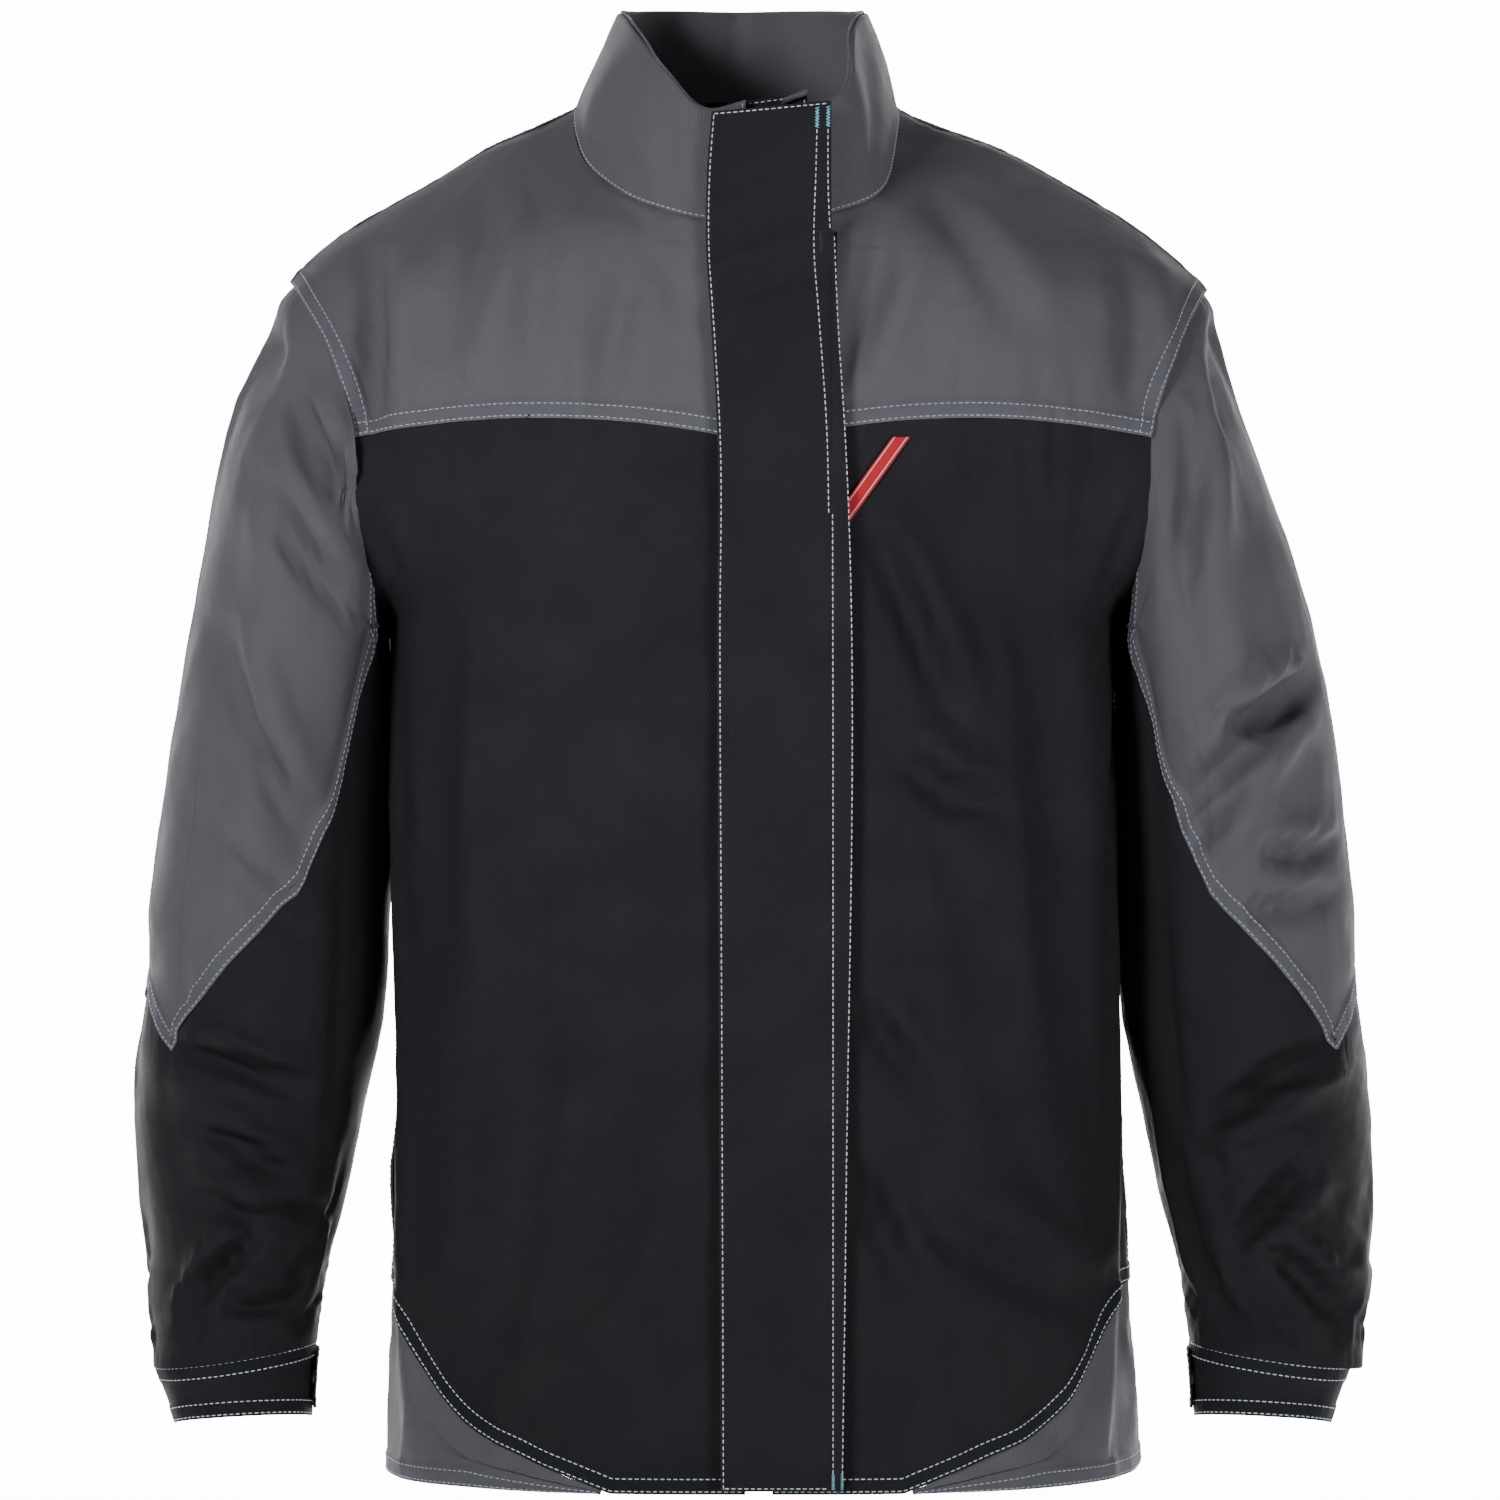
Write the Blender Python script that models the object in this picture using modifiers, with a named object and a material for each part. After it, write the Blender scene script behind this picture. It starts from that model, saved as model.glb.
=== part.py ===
"""Two-tone twill work jacket with a full-length storm flap, as separate sewn pieces.

Metres, +Z up. The front faces -Y and the wearer's right is -X. The origin is the middle of the
hanger loop inside the back neck. Every cloth piece is a lofted surface given its thickness by
Solidify, and neighbouring pieces keep a seam gap. "s" runs across a body panel from its inner
edge (centre front or centre back, then the neck seam) to its outer edge (side seam, then the
armhole). "t" runs up it: 0 hem, 1 underarm, 2 yoke seam, 3 shoulder seam.
"""

import math

import bpy
from mathutils import Vector

# Cloth
CLOTH = 0.0014          # body cloth
LINING = 0.0012         # facings and collar lining
BAG = 0.0008            # pocket bag cloth
LABEL = 0.0006          # woven label
SEAM_GAP = 0.0004       # each panel stops this far short of its seam
SHOULDER_GAP = 0.0014   # more at the shoulder, where front and back meet at a ridge
FACING_INSET = 0.0035   # outer face of the front panel to outer face of the facing behind it

# Front plane: flat at the middle and leaning back, from the hem to the collar's top
HEM_Z = -0.752
UNDERARM_Z = -0.290
YOKE_Z = -0.197
FRONT_HEM = Vector((0.0, -0.215, HEM_Z))
LEAN = math.atan(0.0725)
UP = Vector((0.0, math.sin(LEAN), math.cos(LEAN)))
OUT = Vector((0.0, -math.cos(LEAN), math.sin(LEAN)))
RIGHT_EDGE = 0.004      # the front edges' distances from the middle plane: right front (-X side)
LEFT_EDGE = 0.010       # and left front (+X side)

# Body outline, on the +X side
SIDE_SEAM = [(0.206, -0.070, HEM_Z), (0.203, -0.070, -0.640), (0.198, -0.070, -0.550),
             (0.198, -0.072, -0.400), (0.199, -0.075, UNDERARM_Z)]
ARMHOLE_FRONT = [(0.199, -0.075, UNDERARM_Z), (0.209, -0.118, -0.268), (0.2140, -0.137, -0.225),
                 (0.2145, -0.138, -0.1935), (0.228, -0.120, -0.148), (0.242, -0.096, -0.124),
                 (0.250, -0.070, -0.1145)]
ARMHOLE_BACK = [(0.199, -0.075, UNDERARM_Z), (0.209, -0.012, -0.262), (0.2150, 0.014, -0.222),
                (0.2165, 0.018, -0.1900), (0.230, -0.002, -0.146), (0.243, -0.036, -0.123),
                (0.250, -0.070, -0.1145)]
YOKE_POINT = 3          # which armhole point the yoke seam meets
NECK = [(0.0, -0.1661, -0.078), (0.0265, -0.1655, -0.078), (0.0466, -0.158, -0.0727),
        (0.066, -0.143, -0.064), (0.081, -0.117, -0.047), (0.0885, -0.088, -0.024),
        (0.087, -0.060, -0.006), (0.072, -0.022, -0.001), (0.042, 0.006, -0.003),
        (0.0, 0.014, -0.005)]
NECK_SIDE = 6           # which neck point the shoulder seam meets
COLLAR_TOP = [(0.0, -0.1617, -0.0175), (0.0265, -0.1612, -0.0175), (0.045, -0.150, -0.002),
              (0.0585, -0.128, 0.019), (0.067, -0.098, 0.036), (0.072, -0.066, 0.0445),
              (0.064, -0.030, 0.050), (0.038, 0.001, 0.0545), (0.0, 0.010, 0.055)]
BACK_CENTRE = [(0.0, 0.050, HEM_Z), (0.0, 0.048, -0.560), (0.0, 0.056, UNDERARM_Z),
               (0.0, 0.056, -0.205), (0.0, 0.040, -0.090), (0.0, 0.014, -0.005)]
BACK_YOKE_POINT = 3
FRONT_ROUNDNESS = 2.7   # exponent of the front's superelliptic cross-section
BACK_ROUNDNESS = 2.4
CHEST_CURVE = 2.2       # how sharply the chest turns towards the armhole
YOKE_RISE = 0.011       # how far the yoke seam arches above its ends
SHOULDER_RISE = 0.016   # how far the shoulder seam arches above its ends
YOKE_CROWN = 0.009      # how far the yokes swell out between neck and armhole
CROWN_START = 0.25      # share of the width that stays flat beside the front edge

# Grid lines of the body panels: columns in s and rows in t
COLUMNS = [0.0, 0.12, 0.22, 0.35, 0.5, 0.6, 0.7, 0.8, 0.9, 1.0]
FIRST_ROW = 0.25        # the lowest level row, above the rounded hem corner
PANEL_ROWS = [0.30, 0.38, 0.46, 0.51, 0.56, 0.68, 0.84, 1.0, 1.2, 1.4, 1.6, 1.8]
YOKE_ROWS = [2.2, 2.4, 2.5, 2.6, 2.7, 2.8, 2.9]
FACING_COLUMNS = [0.0, 0.08, 0.16, 0.24]
FACING_ROWS = [0.02, 0.3, 0.6, 0.84, 1.0, 1.3, 1.6, 2.0, 2.2, 2.38]

# Collar: a gap at its foot, its outward swell, and neck shares of its first columns
COLLAR_FOOT = 0.0008
COLLAR_SWELL = 0.0020
COLLAR_COLUMNS = [0.045, 0.075]
COLLAR_YOKE_START = 0.09        # from this share on, its columns are the yoke's rows

# Rounded side panels at the hem: share of the panel's width, height above the hem
HEM_CORNER = [(0.22, 0.0), (0.35, 0.016), (0.50, 0.036), (0.60, 0.060), (0.70, 0.086),
              (0.85, 0.098), (1.0, 0.100)]
CORNER_START = 0.28

# Pocket mouth in the side seam
MOUTH_LOW = 0.225       # in t
MOUTH_HIGH = 0.535
MOUTH_GAPE = 0.0045     # how far each edge stands from the seam line
SIDE_ARC = 0.25         # metres of cloth for the whole of s, near the side

# Pocket bags, from the mouth inwards: s, lowest t, highest t, share of the full depth
BAG_COLUMNS = [(0.965, 0.235, 0.525, 1.0), (0.90, 0.225, 0.530, 0.95), (0.80, 0.190, 0.538, 0.80),
               (0.70, 0.160, 0.540, 0.70), (0.60, 0.135, 0.540, 0.65), (0.50, 0.150, 0.510, 0.45)]
BAG_STEPS = 4
BAG_INSET = 0.0028
BAG_DEPTH = 0.009
POCKET_FACING_COLUMNS = [0.86, 0.92, 0.986]
POCKET_FACING_ROWS = [0.245, 0.32, 0.40, 0.48, 0.515]

# Storm flap, on the left front, in the front plane
FLAP_X = (-0.020, 0.0425)
FLAP_OUT = (0.0038, 0.0062)
FLAP_LENGTH = 0.7364
FLAP_FOOT = 0.002
FLAP_HINGE = (0.0428, 0.3600, 0.0062)   # x, up, out of its hinge line's middle
BAND_X = (0.0431, 0.0495)
BAND_FOOT = 0.003
BAND_LENGTH = 0.668
BAND_OUT = (0.0006, 0.0062)

# Snaps
SNAP_UPS = [0.080, 0.225, 0.370, 0.515, 0.660]
SNAP_X = -0.011
STUD_RADIUS = 0.0050
SOCKET_RADIUS = 0.0060
STUD_OUT = (0.0003, 0.0020)
SOCKET_OUT = (0.0023, 0.0035)
SNAP_SIDES = 16

# Zip
ZIP_X = 0.003
TAPE_SIDE = (0.0030, 0.0150)
TAPE_OUT = (-0.0031, -0.0023)
TEETH_SIDE = (0.0008, 0.0027)
TEETH_OUT = (-0.0034, -0.0008)
ZIP_FOOT = 0.014
ZIP_TOP = 0.712
SLIDER_UP = 0.700
SLIDER_SIZE = (0.0090, 0.0110)
PLATE_FRONT_OUT = (-0.0005, 0.0007)
PLATE_BACK_OUT = (-0.0049, -0.0037)
POST_SIZE = (0.0010, 0.0030)
BRIDGE_SIZE = (0.0040, 0.0030)
BRIDGE_OUT = (0.0006, 0.0018)
PULL_SIZE = (0.0060, 0.0160)
PULL_OUT = (0.00095, 0.00185)
PULL_HINGE = (0.003, 0.6994, 0.0014)    # x, up, out of its hinge line's middle
OVERLAP = 0.0004        # how far the slider's joined pieces run into each other
BOX_HALF = 0.0026
BOX_UP = (0.0045, 0.0134)
BOX_OUT = (-0.0036, -0.0006)
WIND_GUARD_X = (-0.014, 0.026)
WIND_GUARD_UP = (0.006, 0.730)
WIND_GUARD_OUT = (-0.0074, -0.0062)

# Red label, on the left front
LABEL_TOP = (0.0745, 0.0835)
LABEL_FOOT = (0.0505, 0.0565)
LABEL_UP = (0.5150, 0.5570)
LABEL_OUT = 0.0009

# Sleeve, +X side: (outer x, outer z), (inner x, inner z), middle y, half depth
SLEEVE_SECTIONS = [
    ((0.2745, -0.165), (0.2012, -0.318), -0.062, 0.0800),
    ((0.2930, -0.235), (0.2008, -0.355), -0.062, 0.0790),
    ((0.3085, -0.300), (0.2008, -0.395), -0.062, 0.0765),
    ((0.3215, -0.375), (0.2008, -0.440), -0.062, 0.0735),
    ((0.3310, -0.455), (0.2028, -0.500), -0.064, 0.0690),
    ((0.3385, -0.540), (0.2130, -0.553), -0.068, 0.0640),
    ((0.3380, -0.605), (0.2235, -0.605), -0.076, 0.0580),
    ((0.3350, -0.655), (0.2335, -0.645), -0.086, 0.0510),
    ((0.3270, -0.694), (0.2400, -0.681), -0.093, 0.0435),
]
SLEEVE_SHIFT = Vector((0.0025, 0.0, -0.0010))   # armhole seam gap between body and sleeve
SLEEVE_STEP = 15        # degrees between sleeve columns; 0 is the outer side, + turns to the front
COLOUR_SEAM = {0: -0.489, 15: -0.4975, 30: -0.510, 45: -0.523, 60: -0.499, 75: -0.478,
               90: -0.458, 105: -0.438, 120: -0.397, 135: -0.338, 150: -0.300}
TOP_PANEL_EDGE = 150
SLEEVE_SEAM_GAP = 0.0010
TOP_PANEL_ROWS = (0.0, 0.12, 0.27, 0.45, 0.63, 0.82, 1.0)
UNDER_PANEL_ROWS = (0.0, 0.1, 0.22, 0.36, 0.52, 0.68, 0.84, 1.0)
SHOULDER_HINGE = (0.25, -0.07, -0.1115)

# Cuff: top and bottom sections as for the sleeve
CUFF_TOP = ((0.3265, -0.6965), (0.2395, -0.6835), -0.0935, 0.0435)
CUFF_FOOT = ((0.3145, -0.7285), (0.2415, -0.7245), -0.1000, 0.0370)
CUFF_CLOTH = 0.0024
CUFF_STEPS = 22
CUFF_SPAN = (-162, 186)
TAB_SPAN = (170, 224)
TAB_STEPS = 6
TAB_CLOTH = 0.0014
TAB_LIFT = (0.0042, 0.0016)    # outer face above the cuff at the free end and at the root
TAB_EDGE = (0.10, 0.90)        # share of the cuff's height
CUFF_SNAP_ANGLE = 179
CUFF_STUD_OUT = (0.0003, 0.0010)
CUFF_SOCKET_OUT = (0.0013, 0.0020)
CUFF_SNAP_RADIUS = 0.0038

# Hanger loop
LOOP_HALF = 0.027
LOOP_BOW = 0.0034
LOOP_HEIGHT = 0.007
LOOP_CLOTH = 0.0012
LOOP_STEPS = 10

SHARES = (0.0, 0.5, 1.0)        # rows of the pieces that need only three
SIDES = ((1, LEFT_EDGE, "left"), (-1, RIGHT_EDGE, "right"))

COLOURS = {
    "black_twill": (0.016, 0.016, 0.021, 1.0),
    "grey_twill": (0.115, 0.110, 0.128, 1.0),
    "collar_lining_twill": (0.027, 0.026, 0.032, 1.0),
    "red_label": (0.55, 0.013, 0.028, 1.0),
    "zip_tape_black": (0.012, 0.012, 0.014, 1.0),
    "pocket_cotton": (0.050, 0.048, 0.055, 1.0),
    "snap_metal": (0.30, 0.29, 0.27, 1.0),
    "zip_brass": (0.42, 0.30, 0.13, 1.0),
}
METALS = ("snap_metal", "zip_brass")


class Path:
    """A smooth curve through points, read at 0 to 1 by length."""

    def __init__(self, points):
        self.points = [Vector(p) for p in points]
        self.lengths = [0.0]
        for a, b in zip(self.points, self.points[1:]):
            self.lengths.append(self.lengths[-1] + (b - a).length)

    def knot(self, index):
        return self.lengths[index] / self.lengths[-1]

    def slope(self, index):
        low = max(index - 1, 0)
        high = min(index + 1, len(self.points) - 1)
        return (self.points[high] - self.points[low]) / (self.lengths[high] - self.lengths[low])

    def at(self, share):
        distance = min(max(share, 0.0), 1.0) * self.lengths[-1]
        i = 0
        while i < len(self.points) - 2 and distance > self.lengths[i + 1]:
            i += 1
        span = self.lengths[i + 1] - self.lengths[i]
        f = (distance - self.lengths[i]) / span
        start = self.points[i] * (2 * f**3 - 3 * f**2 + 1)
        end = self.points[i + 1] * (3 * f**2 - 2 * f**3)
        leave = self.slope(i) * span * (f**3 - 2 * f**2 + f)
        arrive = self.slope(i + 1) * span * (f**3 - f**2)
        return start + end + leave + arrive


def mix(a, b, f):
    return a + (b - a) * f


def smooth(f):
    f = min(max(f, 0.0), 1.0)
    return f * f * (3.0 - 2.0 * f)


def polyline(points, x):
    """y at x on straight runs between (x, y) points, held level past both ends."""
    if x <= points[0][0]:
        return points[0][1]
    for (x0, y0), (x1, y1) in zip(points, points[1:]):
        if x <= x1:
            return mix(y0, y1, (x - x0) / (x1 - x0))
    return points[-1][1]


def mirrored(points, side):
    """The points on the +X side for side 1, and their mirror images for side -1."""
    return [Vector((p.x * side, p.y, p.z)) for p in points]


# ---------------------------------------------------------------- objects and materials

def clear_scene():
    for thing in list(bpy.data.objects):
        bpy.data.objects.remove(thing, do_unlink=True)


def make_collections():
    for name in ("work_jacket", "cutters"):
        old = bpy.data.collections.get(name)
        if old:
            bpy.data.collections.remove(old)
        bpy.context.scene.collection.children.link(bpy.data.collections.new(name))


def material(slot):
    found = bpy.data.materials.get(slot)
    if found:
        return found
    made = bpy.data.materials.new(slot)
    made.use_nodes = True
    shader = made.node_tree.nodes["Principled BSDF"]
    shader.inputs["Base Color"].default_value = COLOURS[slot]
    shader.inputs["Roughness"].default_value = 0.35 if slot in METALS else 0.85
    shader.inputs["Metallic"].default_value = 1.0 if slot in METALS else 0.0
    return made


def finish(thing, slot, smooth_faces=True):
    """Puts an object in the jacket's collection with its material and shading."""
    for owner in list(thing.users_collection):
        owner.objects.unlink(thing)
    bpy.data.collections["work_jacket"].objects.link(thing)
    thing.data.materials.clear()
    thing.data.materials.append(material(slot))
    if smooth_faces:
        thing.data.shade_smooth()
        thing.data.set_sharp_from_angle(angle=math.radians(40))


def solidify(thing, thickness):
    modifier = thing.modifiers.new("thickness", "SOLIDIFY")
    modifier.thickness = thickness
    modifier.offset = -1.0


def cloth_piece(name, slot, rows, thickness, inside, ring=False, inset=0.0, mirror=False):
    """A cloth piece from rows of points. Its thickness grows towards the inside point."""
    width = len(rows[0])
    points = [p for row in rows for p in row]
    across = width if ring else width - 1
    faces = []
    for i in range(len(rows) - 1):
        for j in range(across):
            k = (j + 1) % width
            faces.append((i * width + j, i * width + k, (i + 1) * width + k, (i + 1) * width + j))
    mesh = bpy.data.meshes.new(name)
    mesh.from_pydata(points, [], faces)
    mesh.update()
    facing = sum((f.center - inside).dot(f.normal) * f.area for f in mesh.polygons)
    if facing < 0:
        mesh.flip_normals()
    mesh.update()
    if inset:
        for vertex, normal in zip(mesh.vertices, [Vector(n.vector) for n in mesh.vertex_normals]):
            vertex.co -= normal * inset
    thing = bpy.data.objects.new(name, mesh)
    bpy.context.scene.collection.objects.link(thing)
    if mirror:
        modifier = thing.modifiers.new("other_half", "MIRROR")
        modifier.merge_threshold = 0.0001
    solidify(thing, thickness)
    finish(thing, slot)
    return thing


def front_plane(x, up, out):
    """A point in the leaning front plane: up from the hem, out from the cloth's outer face."""
    return FRONT_HEM + Vector((x, 0.0, 0.0)) + UP * up + OUT * out


def board(name, slot, x, up, out, origin=None):
    """A flat board in the front plane, from the low to the high value of each direction.

    Its origin is its middle, or the point (x, up, out) if one is given.
    """
    bpy.ops.mesh.primitive_cube_add(size=1.0)
    thing = bpy.context.active_object
    thing.name = name
    thing.data.name = name
    thing.dimensions = (x[1] - x[0], out[1] - out[0], up[1] - up[0])
    bpy.ops.object.transform_apply(location=False, rotation=False, scale=True)
    middle = (sum(x) / 2, sum(up) / 2, sum(out) / 2)
    origin = origin or middle
    shift = Vector((middle[0] - origin[0], origin[2] - middle[2], middle[1] - origin[1]))
    for vertex in thing.data.vertices:
        vertex.co += shift
    thing.location = front_plane(*origin)
    thing.rotation_euler = (-LEAN, 0.0, 0.0)
    finish(thing, slot, smooth_faces=False)
    return thing


def disc(name, slot, radius, start, end):
    """A round snap part from one point on its axis to another."""
    axis = end - start
    bpy.ops.mesh.primitive_cylinder_add(vertices=SNAP_SIDES, radius=radius, depth=axis.length)
    thing = bpy.context.active_object
    thing.name = name
    thing.data.name = name
    thing.location = (start + end) / 2
    thing.rotation_euler = axis.to_track_quat("Z", "Y").to_euler()
    finish(thing, slot)
    return thing


def join_solids(thing, others):
    """Unites solids with Boolean modifiers. The cutters stay hidden in their own collection."""
    for other in others:
        modifier = thing.modifiers.new("join", "BOOLEAN")
        modifier.operation = "UNION"
        modifier.object = other
        other.hide_render = True
        other.display_type = "WIRE"
        for owner in list(other.users_collection):
            owner.objects.unlink(other)
        bpy.data.collections["cutters"].objects.link(other)


# ---------------------------------------------------------------- body surfaces

SIDE = Path(SIDE_SEAM)
HOLE_FRONT = Path(ARMHOLE_FRONT)
HOLE_BACK = Path(ARMHOLE_BACK)
NECK_LINE = Path(NECK)
TOP_LINE = Path(COLLAR_TOP)
SPINE = Path(BACK_CENTRE)
NECK_LENGTH = NECK_LINE.lengths[-1]
NECK_FRONT_LENGTH = NECK_LINE.lengths[NECK_SIDE]
NECK_BACK_LENGTH = NECK_LENGTH - NECK_FRONT_LENGTH


def outer_edge(t, hole):
    """The panel's outer edge: the side seam to the underarm, then the armhole."""
    if t <= 1.0:
        return SIDE.at(t)
    seam = hole.knot(YOKE_POINT)
    if t <= 2.0:
        return hole.at(seam * (t - 1.0))
    return hole.at(mix(seam, 1.0, t - 2.0))


def front_rise(edge):
    """How far the inner edge runs per unit of t above the yoke seam."""
    return NECK[0][2] - YOKE_Z + NECK_FRONT_LENGTH - edge


def neck_share_front(t, edge):
    """The share of the neck seam that a yoke row starts from, or None below the neck."""
    walked = (t - 2.0) * front_rise(edge) - (NECK[0][2] - YOKE_Z)
    return None if walked < 0 else (edge + walked) / NECK_LENGTH


def neck_share_back(t):
    """The same for a back yoke row."""
    rise = SPINE.lengths[-1] - SPINE.lengths[BACK_YOKE_POINT]
    walked = (t - 2.0) * (rise + NECK_BACK_LENGTH) - rise
    return None if walked < 0 else 1.0 - walked / NECK_LENGTH


def front_inner_edge(t, edge):
    """The front edge at distance edge from the middle, then the neck seam to the shoulder."""
    height = YOKE_Z
    if t <= 1.0:
        height = mix(HEM_Z, UNDERARM_Z, t)
    elif t <= 2.0:
        height = mix(UNDERARM_Z, YOKE_Z, t - 1.0)
    else:
        along = neck_share_front(t, edge)
        if along is not None:
            return NECK_LINE.at(along)
        height = YOKE_Z + (t - 2.0) * front_rise(edge)
    return front_plane(edge, (height - HEM_Z) / UP.z, 0.0)


def back_inner_edge(t):
    """The centre back line, then the back neck seam to the shoulder."""
    yoke = SPINE.knot(BACK_YOKE_POINT)
    if t <= 2.0:
        height = outer_edge(t, HOLE_BACK).z if t <= 1.0 else mix(UNDERARM_Z, BACK_CENTRE[3][2], t - 1.0)
        return point_at_height(SPINE, height)
    along = neck_share_back(t)
    if along is not None:
        return NECK_LINE.at(along)
    rise = SPINE.lengths[-1] - SPINE.lengths[BACK_YOKE_POINT]
    return SPINE.at(yoke + (t - 2.0) * (rise + NECK_BACK_LENGTH) / SPINE.lengths[-1])


def point_at_height(path, z):
    """The point of a steadily rising or falling path at height z."""
    return path.at(share_at_height(path, z))


def share_at_height(path, z):
    rising = path.points[-1].z > path.points[0].z
    low, high = 0.0, 1.0
    for _ in range(40):
        middle = (low + high) / 2
        if (path.at(middle).z < z) == rising:
            low = middle
        else:
            high = middle
    return (low + high) / 2


def body_point(s, t, inner, outer, roundness, crown):
    """A point of a half panel between its inner and outer edge points."""
    angle = s * math.pi / 2
    sine, cosine = math.sin(angle), math.cos(angle)
    reach = (sine**roundness + cosine**roundness) ** (-1.0 / roundness)
    above = smooth((t - 0.7) / 1.1)
    across = mix(sine * reach, s, above)
    around = mix(1.0 - cosine * reach, s**CHEST_CURVE, above)
    arch = 4.0 * s * (1.0 - s)
    rise = polyline([(1.0, 0.0), (2.0, YOKE_RISE), (3.0, SHOULDER_RISE)], t)
    bulge = smooth((s - CROWN_START) / 0.4) * smooth((1.0 - s) / 0.4)
    swell = crown * smooth(t - 1.2) * smooth(1.2 * (3.0 - t))
    return Vector((mix(inner.x, outer.x, across),
                   mix(inner.y, outer.y, around) + bulge * swell,
                   mix(inner.z, outer.z, s) + arch * rise))


def front_point(s, t, edge):
    outer = outer_edge(t, HOLE_FRONT)
    return body_point(s, t, front_inner_edge(t, edge), outer, FRONT_ROUNDNESS, -YOKE_CROWN)


def back_point(s, t):
    outer = outer_edge(t, HOLE_BACK)
    return body_point(s, t, back_inner_edge(t), outer, BACK_ROUNDNESS, YOKE_CROWN * 0.6)


def t_moved(point, s, t, distance):
    """t after moving a distance in metres up the panel at s."""
    step = 0.01 if t < 2.9 else -0.01
    speed = (point(s, t + step) - point(s, t)).length / abs(step)
    return t + distance / speed


def corner_height(s):
    """t at the top of the rounded side panel."""
    return polyline(HEM_CORNER, s) / (UNDERARM_Z - HEM_Z)


def mouth(t):
    """How far a panel's side edge stands back from the side seam, in s."""
    gape = 0.0
    if MOUTH_LOW < t < MOUTH_HIGH:
        gape = MOUTH_GAPE * min(1.0, 2.0 * math.sin(math.pi * (t - MOUTH_LOW) / (MOUTH_HIGH - MOUTH_LOW)))
    return (SEAM_GAP + gape) / SIDE_ARC


def panel_rows(point):
    """Rows of a body panel from above its rounded hem corner to below the yoke seam."""
    rows = []
    for share in SHARES:
        row = []
        for s in COLUMNS:
            low = corner_height(s)
            low = t_moved(point, s, low, SEAM_GAP) if low > 0 else 0.0
            t = mix(low, FIRST_ROW, share)
            row.append(point(s * (1.0 - mouth(t)), t))
        rows.append(row)
    for t in PANEL_ROWS:
        rows.append([point(s * (1.0 - mouth(t)), t) for s in COLUMNS])
    rows.append([point(s, t_moved(point, s, 2.0, -SEAM_GAP)) for s in COLUMNS])
    return rows


def yoke_rows(point):
    rows = [[point(s, t_moved(point, s, 2.0, SEAM_GAP)) for s in COLUMNS]]
    for t in YOKE_ROWS:
        rows.append([point(s, t) for s in COLUMNS])
    rows.append([point(s, t_moved(point, s, 3.0, -SHOULDER_GAP)) for s in COLUMNS])
    return rows


def make_fronts():
    for side, edge, name in SIDES:
        def point(s, t, edge=edge):
            return front_point(s, t, edge)
        inside = Vector((0.06 * side, -0.05, -0.40))
        rows = [mirrored(row, side) for row in panel_rows(point)]
        cloth_piece(f"front_panel_{name}", "black_twill", rows, CLOTH, inside)
        rows = [mirrored(row, side) for row in yoke_rows(point)]
        cloth_piece(f"front_yoke_{name}", "grey_twill", rows, CLOTH, Vector((0.12 * side, -0.05, -0.25)))


def make_back():
    cloth_piece("back_panel", "black_twill", panel_rows(back_point), CLOTH,
                Vector((0.06, -0.10, -0.40)), mirror=True)
    cloth_piece("back_yoke", "grey_twill", yoke_rows(back_point), CLOTH,
                Vector((0.12, -0.09, -0.25)), mirror=True)


def make_hem_side_panels():
    """Each runs from the front, round the side and on to the back, with a curved top edge."""
    columns = [s for s in COLUMNS if s > CORNER_START]
    for side, edge, name in SIDES:
        def point(s, t, edge=edge):
            return front_point(s, t, edge)
        rows = []
        for share in SHARES:
            row = []
            for s, surface in ([(CORNER_START, point)] + [(s, point) for s in columns]
                               + [(s, back_point) for s in reversed(columns[:-1])]
                               + [(CORNER_START, back_point)]):
                top = t_moved(surface, s, corner_height(s), -SEAM_GAP)
                row.append(surface(s, top * share))
            rows.append(mirrored(row, side))
        cloth_piece(f"hem_side_panel_{name}", "grey_twill", rows, CLOTH,
                    Vector((0.05 * side, -0.07, -0.70)))


# ---------------------------------------------------------------- collar and neck

def collar_half(edge):
    """Rows of the collar's half on the +X side, from its front end to the centre back."""
    start = edge / NECK_LENGTH
    shares = [start] + COLLAR_COLUMNS
    shares += [a for a in (neck_share_front(t, edge) for t in YOKE_ROWS) if a and a > COLLAR_YOKE_START]
    shares.append(NECK_LINE.knot(NECK_SIDE))
    shares += [a for a in (neck_share_back(t) for t in reversed(YOKE_ROWS)) if a]
    shares.append(1.0)
    rows = []
    middle = Vector((0.0, -0.08, 0.0))
    for share in SHARES:
        row = []
        for along in shares:
            f = (along - start) / (1.0 - start)
            foot = NECK_LINE.at(along)
            top = TOP_LINE.at(mix(edge / TOP_LINE.lengths[-1], 1.0, f))
            foot = foot + (top - foot).normalized() * COLLAR_FOOT
            outward = foot - middle
            outward.z = 0.0
            swell = 4.0 * share * (1.0 - share) * COLLAR_SWELL * smooth(6.0 * f - 0.5)
            row.append(mix(foot, top, share) + outward.normalized() * swell)
        rows.append(row)
    return rows


def make_collar():
    left, right = collar_half(LEFT_EDGE), collar_half(RIGHT_EDGE)
    rows = []
    for left_row, right_row in zip(left, right):
        rows.append(mirrored(right_row, -1) + list(reversed(left_row[:-1])))
    inside = Vector((0.0, -0.08, 0.0))
    cloth_piece("collar_outer", "grey_twill", rows, CLOTH, inside)
    cloth_piece("collar_lining", "collar_lining_twill", rows, LINING, inside, inset=FACING_INSET)


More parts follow.
